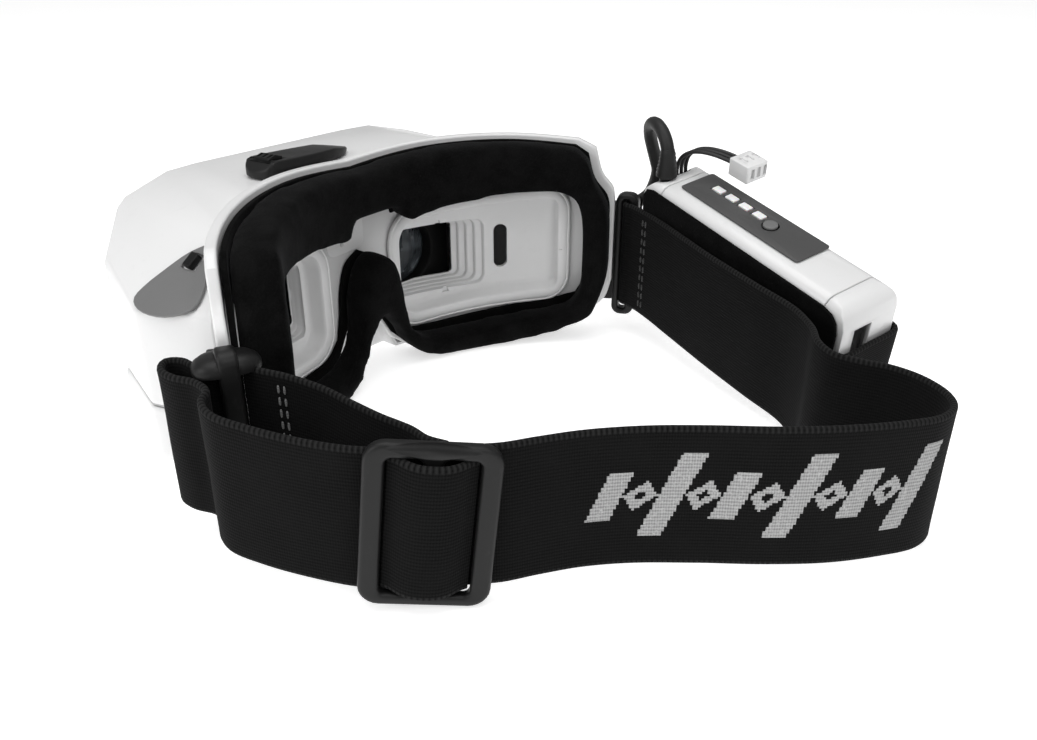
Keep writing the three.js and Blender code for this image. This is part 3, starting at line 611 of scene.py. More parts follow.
def turned(name, axis_points, radii, sides=28):
    """A round body whose radius changes along a straight or gently bent axis."""
    rings = []
    for i, (point, radius) in enumerate(zip(axis_points, radii)):
        before = axis_points[max(i - 1, 0)]
        after = axis_points[min(i + 1, len(axis_points) - 1)]
        heading = (after - before).normalized()
        if i == 0:
            aside = heading.orthogonal()
        aside = (aside - heading * aside.dot(heading)).normalized()
        third = heading.cross(aside)
        rings.append([point + (aside * math.cos(a) + third * math.sin(a)) * radius
                      for a in (2 * math.pi * k / sides for k in range(sides))])
    return loft(name, rings)


def power_plug():
    """Moulded barrel plug: ribbed grip, stepped shoulder and a collar round the lead."""
    profile = [(96.2, 2.5), (95.8, 3.0), (92.9, 3.3), (92.5, 4.1), (92.2, 4.35), (91.4, 4.4)]
    for i in range(5):
        x = 90.6 - 1.7 * i
        profile += [(x, 4.4), (x - 0.25, 4.08), (x - 0.75, 4.08), (x - 1.0, 4.4)]
    profile += [(82.9, 4.4), (82.45, 4.1), (82.4, 1.9), (75.4, 1.8), (75.0, 1.5)]
    points = [at(x, JACK["y"], JACK["z"]) for x, _ in profile]
    body = turned("power_plug_piece", points, [r * MM for _, r in profile])
    return dress(soften(body, 30), "black_plastic", "goggles", "power_plug")


def lead_relief(points):
    """Tapered sleeve with rings, where the lead leaves the pack."""
    start = 3
    profile = [3.6, 3.6, 3.3, 3.5, 3.1, 3.3, 2.9, 3.1, 2.75, 2.9, 2.6, 2.7, 2.45, 2.35]
    steps = even_points(points[start:start + 9], 0.7 * MM)[:len(profile)]
    sleeve = turned("lead_strain_relief", steps, [r * MM for r in profile[:len(steps)]])
    return dress(soften(sleeve, 50), "cable", "goggles")


def balance_connector():
    """White three-way housing with latch rails and open contact slots."""
    obj = clean_copy("balance_connector", "balance_connector_piece")
    bevel(obj, 0.35, 3)
    for i in range(3):
        y = 18.6 + 2.6 * i
        cut_box(obj, PACK, (29.4, y, 49.2), (33, y + 1.6, 52.8))
        cut_box(obj, PACK, (24, y + 0.1, 53.4), (27.4, y + 1.5, 55))
    soften(obj, 30)
    return dress(obj, "white_shell", "goggles", "balance_connector")


def cutter(name, matrix, low, high):
    corners = [(x, y, z) for z in (low[2], high[2]) for x, y in
               ((low[0], low[1]), (high[0], low[1]), (high[0], high[1]), (low[0], high[1]))]
    faces = [(3, 2, 1, 0), (4, 5, 6, 7), (0, 1, 5, 4), (1, 2, 6, 5), (2, 3, 7, 6), (3, 0, 4, 7)]
    return mesh_object(name, [in_frame(matrix, c) for c in corners], faces)


def combine(obj, other, operation):
    """Cuts other from obj or joins it to obj, and removes other."""
    modifier = obj.modifiers.new("combine", "BOOLEAN")
    modifier.operation = operation
    modifier.solver = "EXACT"
    modifier.object = other
    apply_modifiers(obj)
    bpy.data.objects.remove(other)
    return obj


def subtract(obj, tool):
    return combine(obj, tool, "DIFFERENCE")


def union(obj, other):
    return combine(obj, other, "UNION")


def cut_box(obj, matrix, low, high):
    return subtract(obj, cutter("cutter", matrix, low, high))


def balance_wires(connector):
    for i in range(3):
        route = [in_frame(PACK, (x, y + WIRE_PITCH * i, z)) for x, y, z in WIRE_ROUTE]
        points = smooth_path(route, 0.8 * MM)
        wire = cord_curve(f"balance_wire_cord_{i + 1}", points, WIRE_DIAMETER)
        declare_cord(wire, points, "wire", WIRE_DIAMETER, [f"balance_wire_{i + 1}"], far_end="connector",
                     stiffness="limp", lay="loose", with_pieces=[connector])


lead_points = power_lead(power_plug())
lead_relief(lead_points)
balance_wires(balance_connector())


# ---- eye shrouds ---------------------------------------------------------------------------
RISE = 3.4


def rounded_outline(low_u, high_u, low_z, high_z, inner, outer, rise=RISE):
    """Rounded rectangle in arc distance and height, with its own corner radii on each side."""
    points = []
    corners = [
        (high_u - outer, low_z + outer, outer, -90), (high_u - outer, high_z - outer, outer, 0),
        (low_u + inner, high_z - inner, inner, 90), (low_u + inner, low_z + inner, inner, 180)]
    for u, z, radius, start in corners:
        for i in range(9):
            angle = math.radians(start + 90 * i / 8)
            points.append((u + radius * math.cos(angle), z + radius * math.sin(angle)))
    width = EYE_OPENING["high_u"] - EYE_OPENING["low_u"]
    return [(u, z + rise * ((u - EYE_OPENING["low_u"]) / width - 0.5)) for u, z in fill_straights(points)]


def fill_straights(points):
    """Adds points along the four straight sides, so that they can follow the curved face."""
    result = []
    for i, point in enumerate(points):
        result.append(point)
        if i % 9 == 8:
            after = points[(i + 1) % len(points)]
            steps = 6 if i in (8, 26) else 16
            for k in range(1, steps):
                share = k / steps
                result.append(tuple(a + (b - a) * share for a, b in zip(point, after)))
    return result


def eye_outline(margin, inner, outer):
    low_u, high_u = EYE_OPENING["low_u"] - margin, EYE_OPENING["high_u"] + margin
    low_z, high_z = EYE_OPENING["low_z"] - margin, EYE_OPENING["high_z"] + margin
    return rounded_outline(low_u, high_u, low_z, high_z, inner, outer)


def shroud_ring(margin, radius, inner, outer):
    """A ring parallel to the eye opening; a positive margin lies outside it."""
    return [(u, z, radius) for u, z in eye_outline(margin, inner, outer)]


def frame_ring(low_u, high_u, half, radius, corner, back=52.3):
    """A ring of the stepped frame round the viewing window; it stops at the lens holder."""
    low_z, high_z = LENS["z"] - half, LENS["z"] + half
    outline = rounded_outline(low_u, high_u, low_z, high_z, min(corner, 2.4), corner, 0)
    limit = back - FACE_CENTRE_Y
    return [(u, z, min(radius, limit / math.cos(u / FACE_RADIUS))) for u, z in outline]


def between(first, last, steps):
    """Rings that divide the way between two rings, so that a wide face follows the curve."""
    return [[tuple(a + (b - a) * i / steps for a, b in zip(p, q)) for p, q in zip(first, last)]
            for i in range(1, steps)]


def shroud_rings():
    """The lip, the flat floor, four steps down to the window and the back, as (u, z, radius)."""
    lip = [
        (1.6, 96.6, 8.6, 8), (1.6, 89.7, 8.6, 8), (4.4, 89.6, 11.4, 9.6), (4.7, 89.3, 11.7, 9.7),
        (4.8, 88.9, 11.8, 9.8), (4.5, 88.4, 11.5, 9.5), (4.05, 88.2, 11, 9.1), (3.7, 88.45, 10.7, 8.8),
        (3.4, 88.2, 10.4, 8.4), (2.4, 88.05, 9.6, 7), (1, 88.15, 8.4, 5), (0.4, 88.4, 7.8, 3.9),
        (0.08, 88.9, 7.4, 3.2), (0, 89.6, 7.2, 3), (-0.5, 93.2, 6.8, 2.6), (-0.8, 94.3, 6.6, 2.4),
        (-1.4, 94.85, 6.2, 2.2), (-2.2, 95, 5.8, 2)]
    rings = [shroud_ring(*measures) for measures in lip]
    steps = [
        (18.7, 51.8, 12.4, 3.4), (18.9, 49.2, 11.9, 3), (19.1, 46.9, 11.3, 2.6), (19.3, 44.7, 10.7, 2.2)]
    radius = 95.0
    low_u, high_u, half, corner = steps[0]
    rings += between(rings[-1], frame_ring(low_u, high_u, half, radius, corner), 8)
    for low_u, high_u, half, corner in steps:
        rings.append(frame_ring(low_u, high_u, half, radius, corner))
        rings.append(frame_ring(low_u + 0.15, high_u - 0.35, half - 0.15, radius + 0.35, corner))
        radius += 2.1
        rings.append(frame_ring(low_u + 0.2, high_u - 0.5, half - 0.2, radius - 0.2, corner))
    rings.append(frame_ring(19.5, 42.5, 10, radius, 1.8))
    rings.append(frame_ring(19.5, 42.5, 10, radius + 0.8, 1.8, 52.6))
    rings.append(frame_ring(18.0, 47, 11.6, radius + 0.8, 3, 52.6))
    rings.append(frame_ring(17.4, 54, 13.6, 97.4, 3.6))
    rings.append(frame_ring(17.2, 56, 14.4, 96.6, 4))
    rings += between(rings[-1], rings[0], 8)
    return rings


def arc_block(name, side, outline, near_radius, far_radius):
    """A closed block over an outline in arc distance and height, between two radii."""
    rings = [[wrap(side * u, z, radius) for u, z in outline] for radius in (near_radius, far_radius)]
    return loft(name, rings)


def capsule(centre_u, centre_z, width, height):
    radius = width / 2
    reach = height / 2 - radius
    points = []
    for sign in (1, -1):
        for i in range(13):
            angle = math.radians(180 * i / 12 + (0 if sign > 0 else 180))
            height = centre_z + sign * reach + radius * math.sin(angle)
            points.append((centre_u + radius * math.cos(angle), height))
    return points


def line_strip(points, width):
    """Outline of a thin line through points, for a parting groove."""
    upper = [(u, z + width / 2) for u, z in points]
    return upper + [(u, z - width / 2) for u, z in reversed(points)]


def eye_shroud(word, side):
    node = f"eye_shroud_{word}"
    rings = [[wrap(side * u, z, radius) for u, z, radius in ring] for ring in shroud_rings()]
    obj = loft(node + "_piece", rings, closed=True)
    subtract(obj, arc_block("slot", side, capsule(57.4, 31.4, 4.8, 16.4), 93, 99))
    seam = [(48 + 1.6 * i, 31.2 + 0.05 * i) for i in range(16)]
    seam += [(73.6, 32.2), (74.4, 31.6), (76.4, 31.6), (79, 31.6)]
    subtract(obj, arc_block("seam", side, line_strip(seam[:16], 0.3), 94.4, 95.35))
    subtract(obj, arc_block("rim_seam", side, line_strip(seam[15:], 0.28), 87, 88.55))
    for u, low, high in ((35.2, 41.4, 43.6), (37.2, 16.2, 18.2)):
        notch = [(u - 1.3, low), (u + 1.3, low), (u + 0.7, high), (u - 0.4, high)]
        subtract(obj, arc_block("notch", side, notch, 93, 96.2))
    soften(obj, 34)
    return dress(obj, "pale_plastic", "goggles", node)


eye_shroud("right", 1)
eye_shroud("left", -1)


# ---- thin plates: drawn flat with rounded edges, then bent round the face ------------------
def flat_plate(name, outlines, near_depth, far_depth, edge):
    """A plate in millimetres: x and y in its plane, z its depth; inner outlines are holes."""
    data = bpy.data.curves.new(name, "CURVE")
    data.dimensions = "2D"
    data.fill_mode = "BOTH"
    data.extrude = (far_depth - near_depth) / 2 - edge
    data.bevel_depth = edge
    data.bevel_resolution = 3
    data.offset = -edge
    for outline in outlines:
        spline = data.splines.new("POLY")
        spline.points.add(len(outline) - 1)
        for target, (x, y) in zip(spline.points, outline):
            target.co = (x, y, 0, 1)
        spline.use_cyclic_u = True
    holder = link(bpy.data.objects.new(name + "_curve", data))
    bpy.context.view_layer.update()
    graph = bpy.context.evaluated_depsgraph_get()
    mesh = bpy.data.meshes.new_from_object(holder.evaluated_get(graph))
    bpy.data.objects.remove(holder)
    for vertex in mesh.vertices:
        vertex.co.z += (near_depth + far_depth) / 2
    work = bmesh.new()
    work.from_mesh(mesh)
    bmesh.ops.remove_doubles(work, verts=work.verts, dist=0.002)
    work.to_mesh(mesh)
    work.free()
    return link(bpy.data.objects.new(name, mesh))


def slice_along_x(obj, pitch):
    """Adds vertices along x at every pitch, so that the plate can bend."""
    work = bmesh.new()
    work.from_mesh(obj.data)
    low = min(v.co.x for v in work.verts)
    high = max(v.co.x for v in work.verts)
    place = math.ceil(low / pitch) * pitch
    while place < high:
        bmesh.ops.bisect_plane(work, geom=work.verts[:] + work.edges[:] + work.faces[:], dist=0.0005,
                               plane_co=(place + 0.013, 0, 0), plane_no=(1, 0, 0))
        place += pitch
    work.to_mesh(obj.data)
    work.free()


def wrapped_plate(name, outlines, near_radius, far_radius, edge):
    """A flat plate bent round the face, between two radii."""
    obj = flat_plate(name, outlines, near_radius, far_radius, edge)
    slice_along_x(obj, 2.0)
    for vertex in obj.data.vertices:
        vertex.co = wrap(vertex.co.x, vertex.co.y, vertex.co.z)
    tidy_normals(obj)
    return soften(obj, 40)


def placed_plate(name, outlines, near_depth, far_depth, edge, matrix):
    """A flat plate that stands in a frame's x and z, with its depth along y."""
    obj = flat_plate(name, outlines, near_depth, far_depth, edge)
    for vertex in obj.data.vertices:
        vertex.co = in_frame(matrix, (vertex.co.x, vertex.co.z, vertex.co.y))
    tidy_normals(obj)
    return soften(obj, 40)


def spline_points(points, step=1.5):
    """A smooth curve through plane points."""
    return [(p.x, p.y) for p in smooth_path([(u, z, 0) for u, z in points], step)]


def mirrored(half):
    """Closes a right half outline with its mirror image."""
    left = [(-u, z) for u, z in half if u > 0.01]
    return half + left[::-1]


def simple_outline(width, height, corner, x=0.0, y=0.0, steps=6):
    points = []
    reach_x, reach_y = width / 2 - corner, height / 2 - corner
    for side_x, side_y, start in ((1, -1, -90), (1, 1, 0), (-1, 1, 90), (-1, -1, 180)):
        for i in range(steps + 1):
            angle = math.radians(start + 90 * i / steps)
            points.append((x + side_x * reach_x + corner * math.cos(angle),
                           y + side_y * reach_y + corner * math.sin(angle)))
    return points


PLATE_HALF = (
    spline_points([(0, 71.8), (30, 73.6), (60, 73.1), (84, 71)])
    + spline_points([(90, 68), (92.6, 59), (96.4, 54), (97.2, 48)])
    + spline_points([(97.2, 20), (94.8, 12.5), (88, 7), (66, 1.6), (45, 0.3), (30, 0.3), (20, 1)])
    + spline_points([(13, 6), (7, 16), (3.5, 20), (0, 21.5)]))
FOAM_HALF = (
    spline_points([(0, 70), (30, 72), (60, 71.6), (83, 69.4)])
    + spline_points([(87.5, 66.5), (90, 58), (95, 51), (95.6, 40), (95.6, 27), (92, 15.5)])
    + spline_points([(88, 9.5), (66, 2.8), (45, 0.6), (30, 0.6), (19, 3), (12, 9)])
    + spline_points([(8, 16), (4, 21.5), (0, 23.5)]))
OPENING_HALF = (
    [(0, 57.8), (13.4, 57.8)] + spline_points([(14.5, 51.8), (30, 54.2), (60, 56.4), (78, 56.8)])
    + spline_points([(84.5, 54.5), (87, 48), (87.5, 35), (87, 21), (84, 15)])
    + spline_points([(76, 12.6), (50, 9.4), (28, 8.2), (17, 9.4), (11.8, 14)])
    + spline_points([(10, 22), (8.8, 31), (5.5, 39), (0, 42.5)]))


def bridge_cuts(grow=0.0):
    """Round hole, slot and pin hole on the bridge over the nose."""
    cuts = [(2.78, 2.78, 1.38 + grow / 2, 55), (9, 1.1, 0.5, 48.8), (1, 1, 0.49, 45.6)]
    return [simple_outline(width + grow, height + grow, corner, -5.5, z)
            for width, height, corner, z in cuts]


def faceplate():
    """White plate with two eye openings, and the low pad over the nose."""
    eyes = [[(side * u, z) for u, z in eye_outline(2, 9, 9)] for side in (1, -1)]
    plate = wrapped_plate("faceplate_piece", [mirrored(PLATE_HALF)] + eyes + bridge_cuts(), 90.0, 93.0, 0.7)
    dress(plate, "white_shell", "goggles", "faceplate")
    pad_outlines = [simple_outline(16, 15.6, 3.4, -4.2, 50)] + bridge_cuts(0.5)
    pad = wrapped_plate("bridge_pad", pad_outlines, 89.5, 90.4, 0.35)
    dress(pad, "pale_plastic", "goggles")


faceplate()


# ---- foam face pad -------------------------------------------------------------------------
def radial_copy(node, name, near_radius, far_radius, old_near=FOAM_NEAR, old_far=89.6):
    """A copy of a face-wrapped node squeezed between two new radii."""
    obj = clean_copy(node, name)
    centre = at(0, FACE_CENTRE_Y, 0)
    for vertex in obj.data.vertices:
        offset = vertex.co - centre
        plan = Vector((offset.x, offset.y))
        share = (plan.length / MM - old_near) / (old_far - old_near)
        plan = plan.normalized() * (near_radius + share * (far_radius - near_radius)) * MM
        vertex.co = Vector((centre.x + plan.x, centre.y + plan.y, vertex.co.z))
    return obj


def remesh(obj, voxel_mm):
    modifier = obj.modifiers.new("voxels", "REMESH")
    modifier.mode = "VOXEL"
    modifier.voxel_size = voxel_mm * MM
    return apply_modifiers(obj)


def relax(obj, factor, repeats):
    modifier = obj.modifiers.new("relax", "SMOOTH")
    modifier.factor = factor
    modifier.iterations = repeats
    return apply_modifiers(obj)


def spread_sideways(obj, centre, distance_mm):
    """Moves the sides of a piece outward across the face, and keeps its thickness."""
    grown = [(vertex, vertex.normal.copy()) for vertex in obj.data.vertices]
    for vertex, normal in grown:
        outward = Vector((vertex.co.x - centre.x, vertex.co.y - centre.y, 0)).normalized()
        vertex.co += (normal - outward * normal.dot(outward)) * distance_mm * MM


def foam_pad():
    """Foam ring with soft rolled edges and a shallow, uneven crown, and its thin backing."""
    obj = radial_copy("foam_pad", "foam_pad_piece", FOAM_NEAR, FOAM_FAR)
    remesh(obj, 1.5)
    relax(obj, 0.55, 22)
    obj.data.update()
    centre = at(0, FACE_CENTRE_Y, 0)
    spread_sideways(obj, centre, 0.8)
    for vertex in obj.data.vertices:
        offset = vertex.co - centre
        plan = Vector((offset.x, offset.y, 0))
        depth = (FOAM_FAR - plan.length / MM) / (FOAM_FAR - FOAM_NEAR)
        swell = noise.noise(vertex.co * 55) * 0.5 + noise.noise(vertex.co * 160) * 0.16
        vertex.co -= plan.normalized() * swell * max(min(depth, 1), 0) * MM
    obj.data.shade_smooth()
    dress(obj, "foam_cover", "goggles", "foam_pad")
    outlines = [mirrored(FOAM_HALF), mirrored(OPENING_HALF)]
    backing = wrapped_plate("foam_backing", outlines, 87.9, 89.5, 0.4)
    dress(backing, "foam_cover", "goggles")


foam_pad()


# ---- straps --------------------------------------------------------------------------------
MAIN_BAND = [
    (90.6, -7.4, 11.5), (88.8, -6.3, 11.5), (87, -5.1, 11.5), (85.2, -4.8, 11.5), (83.3, -5.6, 11.5),
    (81.2, -6.7, 11.5), (80.1, -8.1, 11.5), (80.3, -10.2, 11.4), (79.5, -13.4, 11.2), (78.4, -16.8, 11),
    (77, -20.6, 10.7), (75.4, -25, 10.2), (72, -33.8, 9), (65, -52.2, 6.6), (58, -71, 4.6),
    (52.1, -86.8, 3.2), (45.1, -95.4, 2.4), (38.5, -100.2, 2), (35, -106.2, 1.5), (36, -113.3, 1.2),
    (38.2, -120.5, 1), (37.4, -128.5, 1), (33.2, -136.2, 1), (26.6, -140.2, 1.4), (18.4, -140, 2),
    (8.6, -135.4, 3), (-3.2, -127.3, 3.9), (-14.2, -116.1, 4.1), (-23.6, -103.3, 3.8),
    (-33, -91.6, 3.4), (-42.4, -82.6, 3.2), (-51.4, -76.8, 3.4), (-59.6, -72.2, 3.7), (-66.2, -66.5, 4),
    (-71.4, -61.4, 4), (-76.6, -56.2, 4), (-82.6, -49, 4.4), (-88.6, -38.2, 5.2), (-93.2, -27.6, 6.2),
    (-95.8, -18.6, 7.2), (-94.4, -13, 8), (-91.2, -10.4, 8.4), (-90.8, -5.4, 8.8), (-93, 0.6, 9),
    (-92.8, 6, 9.2), (-89.9, 8.6, 9.4), (-87.4, 5.8, 9.6), (-87, 0.6, 9.6), (-86, -3.7, 9.6),
    (-83.4, -5.2, 9.6), (-80.8, -6.6, 9.6)]
RETURN_BAND = [
    (-79.4, -8.4, 9.6), (-77.9, -12, 9.2), (-74.6, -18.6, 8.4), (-71.6, -27.6, 7.2), (-70.4, -36.4, 6),
    (-69.2, -45, 5), (-67.6, -53, 4.2), (-68, -58.6, 4), (-66.8, -63.4, 4)]
POCKET_BAND = [(x, y, 1) for x, y in [
    (-2.8, 5.4), (-1.6, 9), (-1.5, 15), (-1.5, 20.6), (-0.6, 23), (1.8, 23.6), (7, 23.4), (26, 23.4),
    (46, 23.4), (66, 23.4), (84, 23.4), (89.8, 23.6), (92, 22.8), (92.6, 20), (92.5, 11), (92.5, 1),
    (91, -2), (88.4, -3.6), (85.6, -4.8)]]
WRAP_BAND = [(x, y, -WRAP_WIDTH / 2) for x, y in [
    (-9.5, 1.9), (-7.7, 2.9), (-5.2, 5), (-2.8, 6.2), (0, 6.5), (2.8, 6.2), (5.2, 5), (7.7, 2.9),
    (9.5, 1.9)]]


def webbing_profile(width, thickness):
    """Section of webbing as pairs of sideways and upward distance, with round selvedges."""
    half = thickness / 2
    bead = half * 1.06
    points = []
    for i in range(7):
        angle = math.pi + math.pi * i / 6
        points.append((bead * math.cos(angle), bead + bead * math.sin(angle)))
    rows = 14
    for i in range(1, rows):
        points.append((half, bead + (width - 2 * bead) * i / rows))
    for i in range(7):
        angle = math.pi * i / 6
        points.append((bead * math.cos(angle), width - bead + bead * math.sin(angle)))
    for i in range(rows - 1, 0, -1):
        points.append((-half, bead + (width - 2 * bead) * i / rows))
    return points


def ribbon(name, stations, width, thickness, matrix, slack=0.22, step=1.3):
    """Webbing that stands on edge along the stations, with UVs in metres along and across."""
    path = smooth_path(stations, step)
    profile = webbing_profile(width, thickness)
    rings = []
    along = []
    travelled = 0.0
    for i, point in enumerate(path):
        before, after = path[max(i - 1, 0)], path[min(i + 1, len(path) - 1)]
        heading = (after - before)
        sideways = Vector((heading.y, -heading.x, 0)).normalized()
        travelled += (point - path[i - 1]).length if i else 0
        along.append(travelled)
        fade = min(i, len(path) - 1 - i, 8) / 8
        ring = []
        for n, s in profile:
            wave = noise.noise(Vector((travelled * 0.045, s * 0.06, len(path)))) * slack * fade
            ring.append(in_frame(matrix, point + sideways * (n + wave) + Vector((0, 0, s))))
        rings.append(ring)
    obj = loft(name, rings)
    strap_uv(obj, along, profile)
    return soften(obj, 60), path


def strap_uv(obj, along, profile):
    layer = obj.data.uv_layers.new(name="strap")
    count = len(profile)
    for loop in obj.data.loops:
        ring, position = divmod(loop.vertex_index, count)
        layer.data[loop.index].uv = (along[ring] * MM, profile[position][1] * MM)


def stitch_rows(name, path, share, face, heights, matrix, finish, body, rows=2, spacing=1.6):
    """Sewn rows on one face of a ribbon, each stitch a small raised bead of thread."""
    index = int(round((len(path) - 1) * share))
    heading = (path[index + 1] - path[index - 1]).normalized()
    sideways = Vector((heading.y, -heading.x, 0)).normalized() * face
    vertices, faces = [], []
    low, high = heights
    count = int((high - low) / (STITCH_LENGTH + STITCH_GAP))
    for row in range(rows):
        start = path[index] + heading * spacing * row
        for i in range(count):
            z = low + (high - low) * (i + 0.5) / count
            centre = start + sideways + Vector((0, 0, z))
            add_bead(vertices, faces, centre, STITCH_LENGTH, heading, sideways, matrix)
    obj = mesh_object(name, vertices, faces)
    obj.data.shade_smooth()
    return dress(obj, finish, body)


def add_bead(vertices, faces, centre, length, heading, sideways, matrix, thick=0.3):
    """One stitch: a closed spindle that stands along z."""
    first = len(vertices)
    sides = 8
    levels = [(-0.5, 0.05), (-0.42, 0.7), (-0.2, 1.0), (0.2, 1.0), (0.42, 0.7), (0.5, 0.05)]
    across = heading.normalized()
    out = sideways.normalized()
    for height, width in levels:
        for k in range(sides):
            angle = 2 * math.pi * k / sides
            offset = (across * math.cos(angle) + out * math.sin(angle)) * thick * width
            vertices.append(in_frame(matrix, centre + offset + Vector((0, 0, height * length))))
    for a in range(len(levels) - 1):
        for k in range(sides):
            j = (k + 1) % sides
            low, high = first + a * sides, first + (a + 1) * sides
            faces.append((low + k, low + j, high + j, high + k))
    faces.append(tuple(first + k for k in range(sides))[::-1])
    faces.append(tuple(first + (len(levels) - 1) * sides + k for k in range(sides)))


def straps():
    """The four bands of webbing; returns the paths that the seams follow."""
    main, main_path = ribbon("strap_main_webbing", MAIN_BAND, WEBBING_WIDTH, WEBBING_THICKNESS, GOGGLES)
    dress(main, "main_webbing", "goggles", "strap_main")
    pocket, pocket_path = ribbon(
        "strap_pocket_webbing", POCKET_BAND, POCKET_WIDTH, POCKET_THICKNESS, PACK, 0.1)
    dress(pocket, "pocket_webbing", "goggles", "strap_pocket")
    wrapped, _ = ribbon("strap_wrap_webbing", WRAP_BAND, WRAP_WIDTH, WEBBING_THICKNESS, BUCKLE, 0.25, 0.9)
    dress(wrapped, "wrap_webbing", "buckle", "strap_wrap")
    back, back_path = ribbon(
        "strap_return_webbing", RETURN_BAND, WEBBING_WIDTH, WEBBING_THICKNESS, GOGGLES, 0.12)
    dress(back, "webbing", None, "strap_return")
    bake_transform(back)
    return main_path, pocket_path, back_path


def pocket_panel():
    """Fabric wall of the pocket, between the battery case and the main strap."""
    outline = [(1.5, 27), (28, 26), (42, 20), (86.5, 18), (89.5, 22), (89.5, 34), (88.6, 37.4),
               (86.6, 39.6), (83, 40.6), (6, 40.6), (3, 39.6), (1.5, 37)]
    panel = placed_plate("pocket_panel_piece", [outline], -1.4, -0.35, 0.45, PACK)
    dress(panel, "foam_cover", "goggles", "pocket_panel")


def seams(main_path, pocket_path, back_path):
    """Sewn fold-backs: rows of thread on both faces of the webbing."""
    full = (SEAM_MARGIN, WEBBING_WIDTH - SEAM_MARGIN)
    narrow = (SEAM_MARGIN, POCKET_WIDTH - SEAM_MARGIN)
    sewn = [
        ("right", main_path, 0.055, full, GOGGLES, "thread_dark"),
        ("left", back_path, 0.16, full, GOGGLES, "thread_light"),
        ("pocket", pocket_path, 0.955, narrow, PACK, "thread_dark")]
    for word, face in (("inner", 1), ("outer", -1)):
        for place, path, share, heights, matrix, thread in sewn:
            stitch_rows(f"seam_{place}_{word}", path, share, face, heights, matrix, thread, "goggles")


pocket_panel()
seams(*straps())


# ---- strap anchors and buckle --------------------------------------------------------------
def squared_off(value):
    """Pushes a sine or cosine outward, which turns a circle into a squarer round."""
    return math.copysign(abs(value) ** 0.8, value)


def knuckle(side):
    """Low rounded cap of an anchor, which closes over the top edge of the webbing."""
    sides = 40
    levels = [(46.2, 0.9), (46.5, 1), (47.9, 1), (49, 0.92), (49.9, 0.76), (50.4, 0.5), (50.6, 0.18)]
    rings = []
    for height, share in levels:
        ring = []
        for k in range(sides):
            angle = 2 * math.pi * k / sides
            u = 100.2 + 5.2 * share * squared_off(math.cos(angle))
            radius = 91.6 + 8.2 * share * squared_off(math.sin(angle))
            ring.append(wrap(side * u, height, radius))
        rings.append(ring)
    return loft("knuckle", rings)


def anchor_outline(side, width, height, corner, u):
    return [(side * x, z) for x, z in simple_outline(width, height, corner, u, 29.6)]


def strap_anchor(word, side):
    """Slotted loop for the webbing on a flange; the left one also has a cap."""
    loop = [anchor_outline(side, 8, 45.6, 3.2, 101.6), anchor_outline(side, 2.5, 41.2, 1, 101.25)]
    obj = wrapped_plate(f"strap_anchor_{word}_piece", loop, 89.2, 94.2, 1.0)
    flange = wrapped_plate("flange", [anchor_outline(side, 9.4, 37.6, 3, 94.6)], 93.4, 95.6, 0.6)
    union(obj, flange)
    if word == "left":
        union(obj, knuckle(side))
    soften(obj, 36)
    dress(obj, "dark_plastic", "goggles", f"strap_anchor_{word}")


def buckle_frame():
    """Three-bar slide with broad rounded rails and a thumb scoop in its top rail."""
    outer = simple_outline(30.4, 43, 5)
    windows = [simple_outline(8.15, 36.2, 1.6, side * 6.325, -0.4) for side in (1, -1)]
    obj = placed_plate("buckle_frame_piece", [outer] + windows, 1.2, 4.4, 1.15, BUCKLE)
    steps = range(-10, 11)
    axis = [in_frame(BUCKLE, (1.5 * i, 5.2, 20.6)) for i in steps]
    radii = [(0.2 + 2.4 * math.cos(math.radians(8.7 * i)) ** 2) * MM for i in steps]
    subtract(obj, turned("scoop", axis, radii, 32))
    soften(obj, 34)
    dress(obj, "dark_plastic", "buckle", "buckle_frame")


strap_anchor("right", 1)
strap_anchor("left", -1)
buckle_frame()


# ---- light baffles that slide with the optics ----------------------------------------------
def baffle(word, side):
    """Matt plate that closes the eye window round the bore of a lens holder."""
    outline = simple_outline(35, 24, 1.5, side * (LENS["x"] + 2.5), LENS["z"])
    angles = [math.radians(7.5 * i) for i in range(48)]
    bore = [(side * LENS["x"] + LENS["bore"] * math.cos(a), LENS["z"] + LENS["bore"] * math.sin(a))
            for a in angles]
    obj = placed_plate(f"lens_baffle_{word}", [outline, bore], 52.4, 52.9, 0.15, GOGGLES)
    dress(obj, "black_plastic", f"optics_{word}")


for word, side in (("right", 1), ("left", -1)):
    baffle(word, side)


# ---- hard pieces: the CAD shape with rounded edges -------------------------------------------------
HARD_PIECES = [
    ("front_housing_upper", "white_shell", 1.5, 4), ("front_housing_lower", "white_shell", 1.5, 4),
    ("receiver_bay_cover", "white_shell", 0.35, 3),
    ("side_panel_left", "mid_grey", 0.3, 3), ("side_panel_right", "mid_grey", 0.3, 3),
    ("mode_switch", "black_plastic", 0.3, 3), ("record_button", "black_plastic", 0.35, 3),
    ("control_pod", "dark_plastic", 0.7, 4), ("channel_rocker", "black_plastic", 0.25, 3),
    ("lens_holder_right", "black_plastic", 0.4, 3), ("lens_holder_left", "black_plastic", 0.4, 3),
    ("display_module_right", "mid_grey", 0.4, 3), ("display_module_left", "mid_grey", 0.4, 3),
    ("ipd_knob_right", "dark_plastic", 0.25, 3), ("ipd_knob_left", "dark_plastic", 0.25, 3),
    ("power_socket", "black_plastic", 0.25, 3), ("media_socket", "black_plastic", 0.25, 3),
    ("antenna_socket", "gold_plate", 0.2, 3), ("fan_frame", "black_plastic", 0.3, 3),
    ("fan_rotor", "dark_plastic", 0.12, 2), ("battery_lead_cap", "white_shell", 0.3, 3),
    ("battery_body", "white_shell", 0.3, 3), ("battery_end_cap", "white_shell", 0.3, 3),
    ("battery_label", "label_grey", 0.12, 2), ("battery_button", "mid_grey", 0.3, 3)]
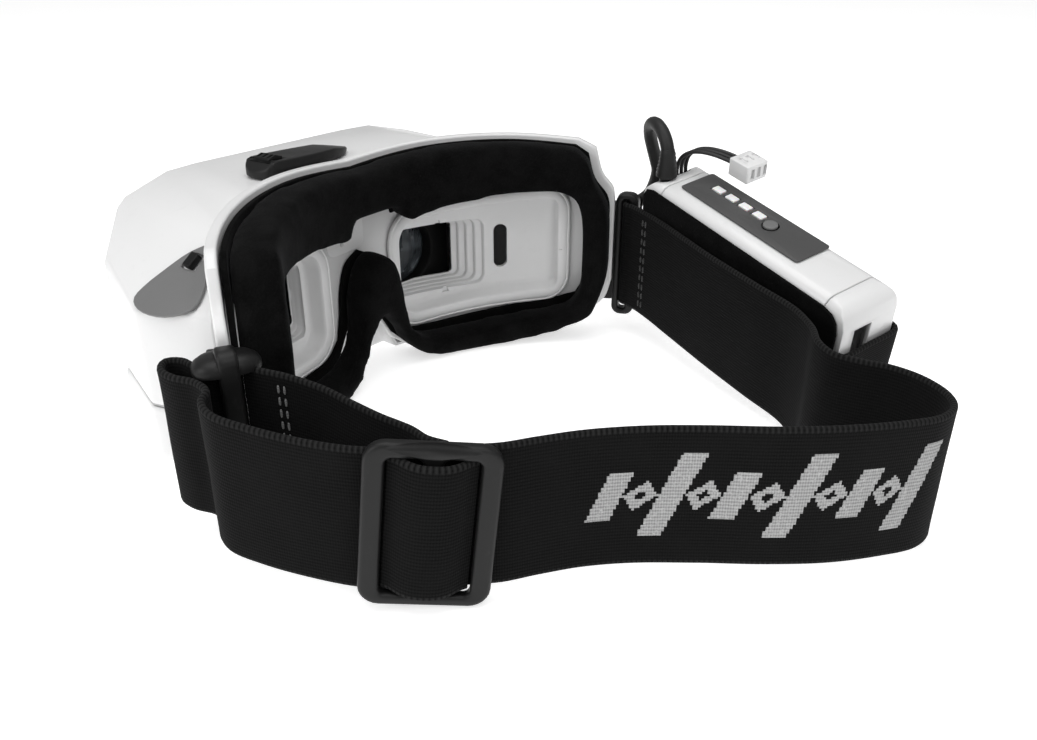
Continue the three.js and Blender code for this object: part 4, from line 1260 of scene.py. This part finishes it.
HARD_PIECES += [(f"charge_light_{i}", "light_window", 0.18, 3) for i in (1, 2, 3, 4)]
HARD_PIECES += [(f"housing_screw_{i}", "steel", 0.2, 2) for i in (1, 2, 3, 4)]
for node, finish, width, segments in HARD_PIECES:
    refine(node, finish, width, segments)

PLAIN_NODES = {
    "optics_rail": "steel", "main_board": "circuit_board", "receiver_module": "steel",
    "battery_board": "circuit_board", "battery_cell_lower": "steel", "battery_cell_upper": "steel",
    "eyepiece_lens_right": "lens_glass", "eyepiece_lens_left": "lens_glass"}
for node, finish in PLAIN_NODES.items():
    for material_slot in frame["nodes"][node].material_slots:
        material_slot.material = FINISH[finish]


# ---- stage and light -----------------------------------------------------------------------
def floor():
    size = 25.0
    obj = mesh_object("floor", [(-size, -size, 0), (size, -size, 0), (size, size, 0), (-size, size, 0)],
                      [(0, 1, 2, 3)])
    material, tree, surface = new_material("floor", Roughness=0.6, Specular_IOR_Level=0.2)
    mottled = noise_value(tree, 60, 2)
    tree.links.new(mix_colour(tree, mottled, grey(0.84), grey(0.87)), surface.inputs["Base Color"])
    surface.inputs["Emission Color"].default_value = (1, 1, 1, 1)
    surface.inputs["Emission Strength"].default_value = 0.6
    obj.data.materials.append(material)


def area_light(name, place, target, size, power):
    data = bpy.data.lights.new(name, "AREA")
    data.shape = "RECTANGLE"
    data.size, data.size_y = size
    data.energy = power
    light = link(bpy.data.objects.new(name, data))
    light.location = place
    light.rotation_euler = (Vector(target) - Vector(place)).to_track_quat("-Z", "Y").to_euler()


def lighting():
    world = bpy.data.worlds.new("studio")
    world.use_nodes = True
    background = world.node_tree.nodes["Background"]
    background.inputs["Color"].default_value = (1, 1, 1, 1)
    background.inputs["Strength"].default_value = 0.36
    bpy.context.scene.world = world
    area_light("overhead", (-0.1, 0.0, 0.9), (0, 0, 0), (0.8, 0.8), 4.6)
    area_light("left", (-0.9, 0.2, 0.5), (0, 0.03, 0.03), (0.5, 0.5), 2.8)
    area_light("viewer", (-0.3, -0.8, 0.7), (0, 0.03, 0.03), (0.5, 0.5), 2.2)
    bpy.context.scene.view_settings.view_transform = "Standard"


floor()
lighting()
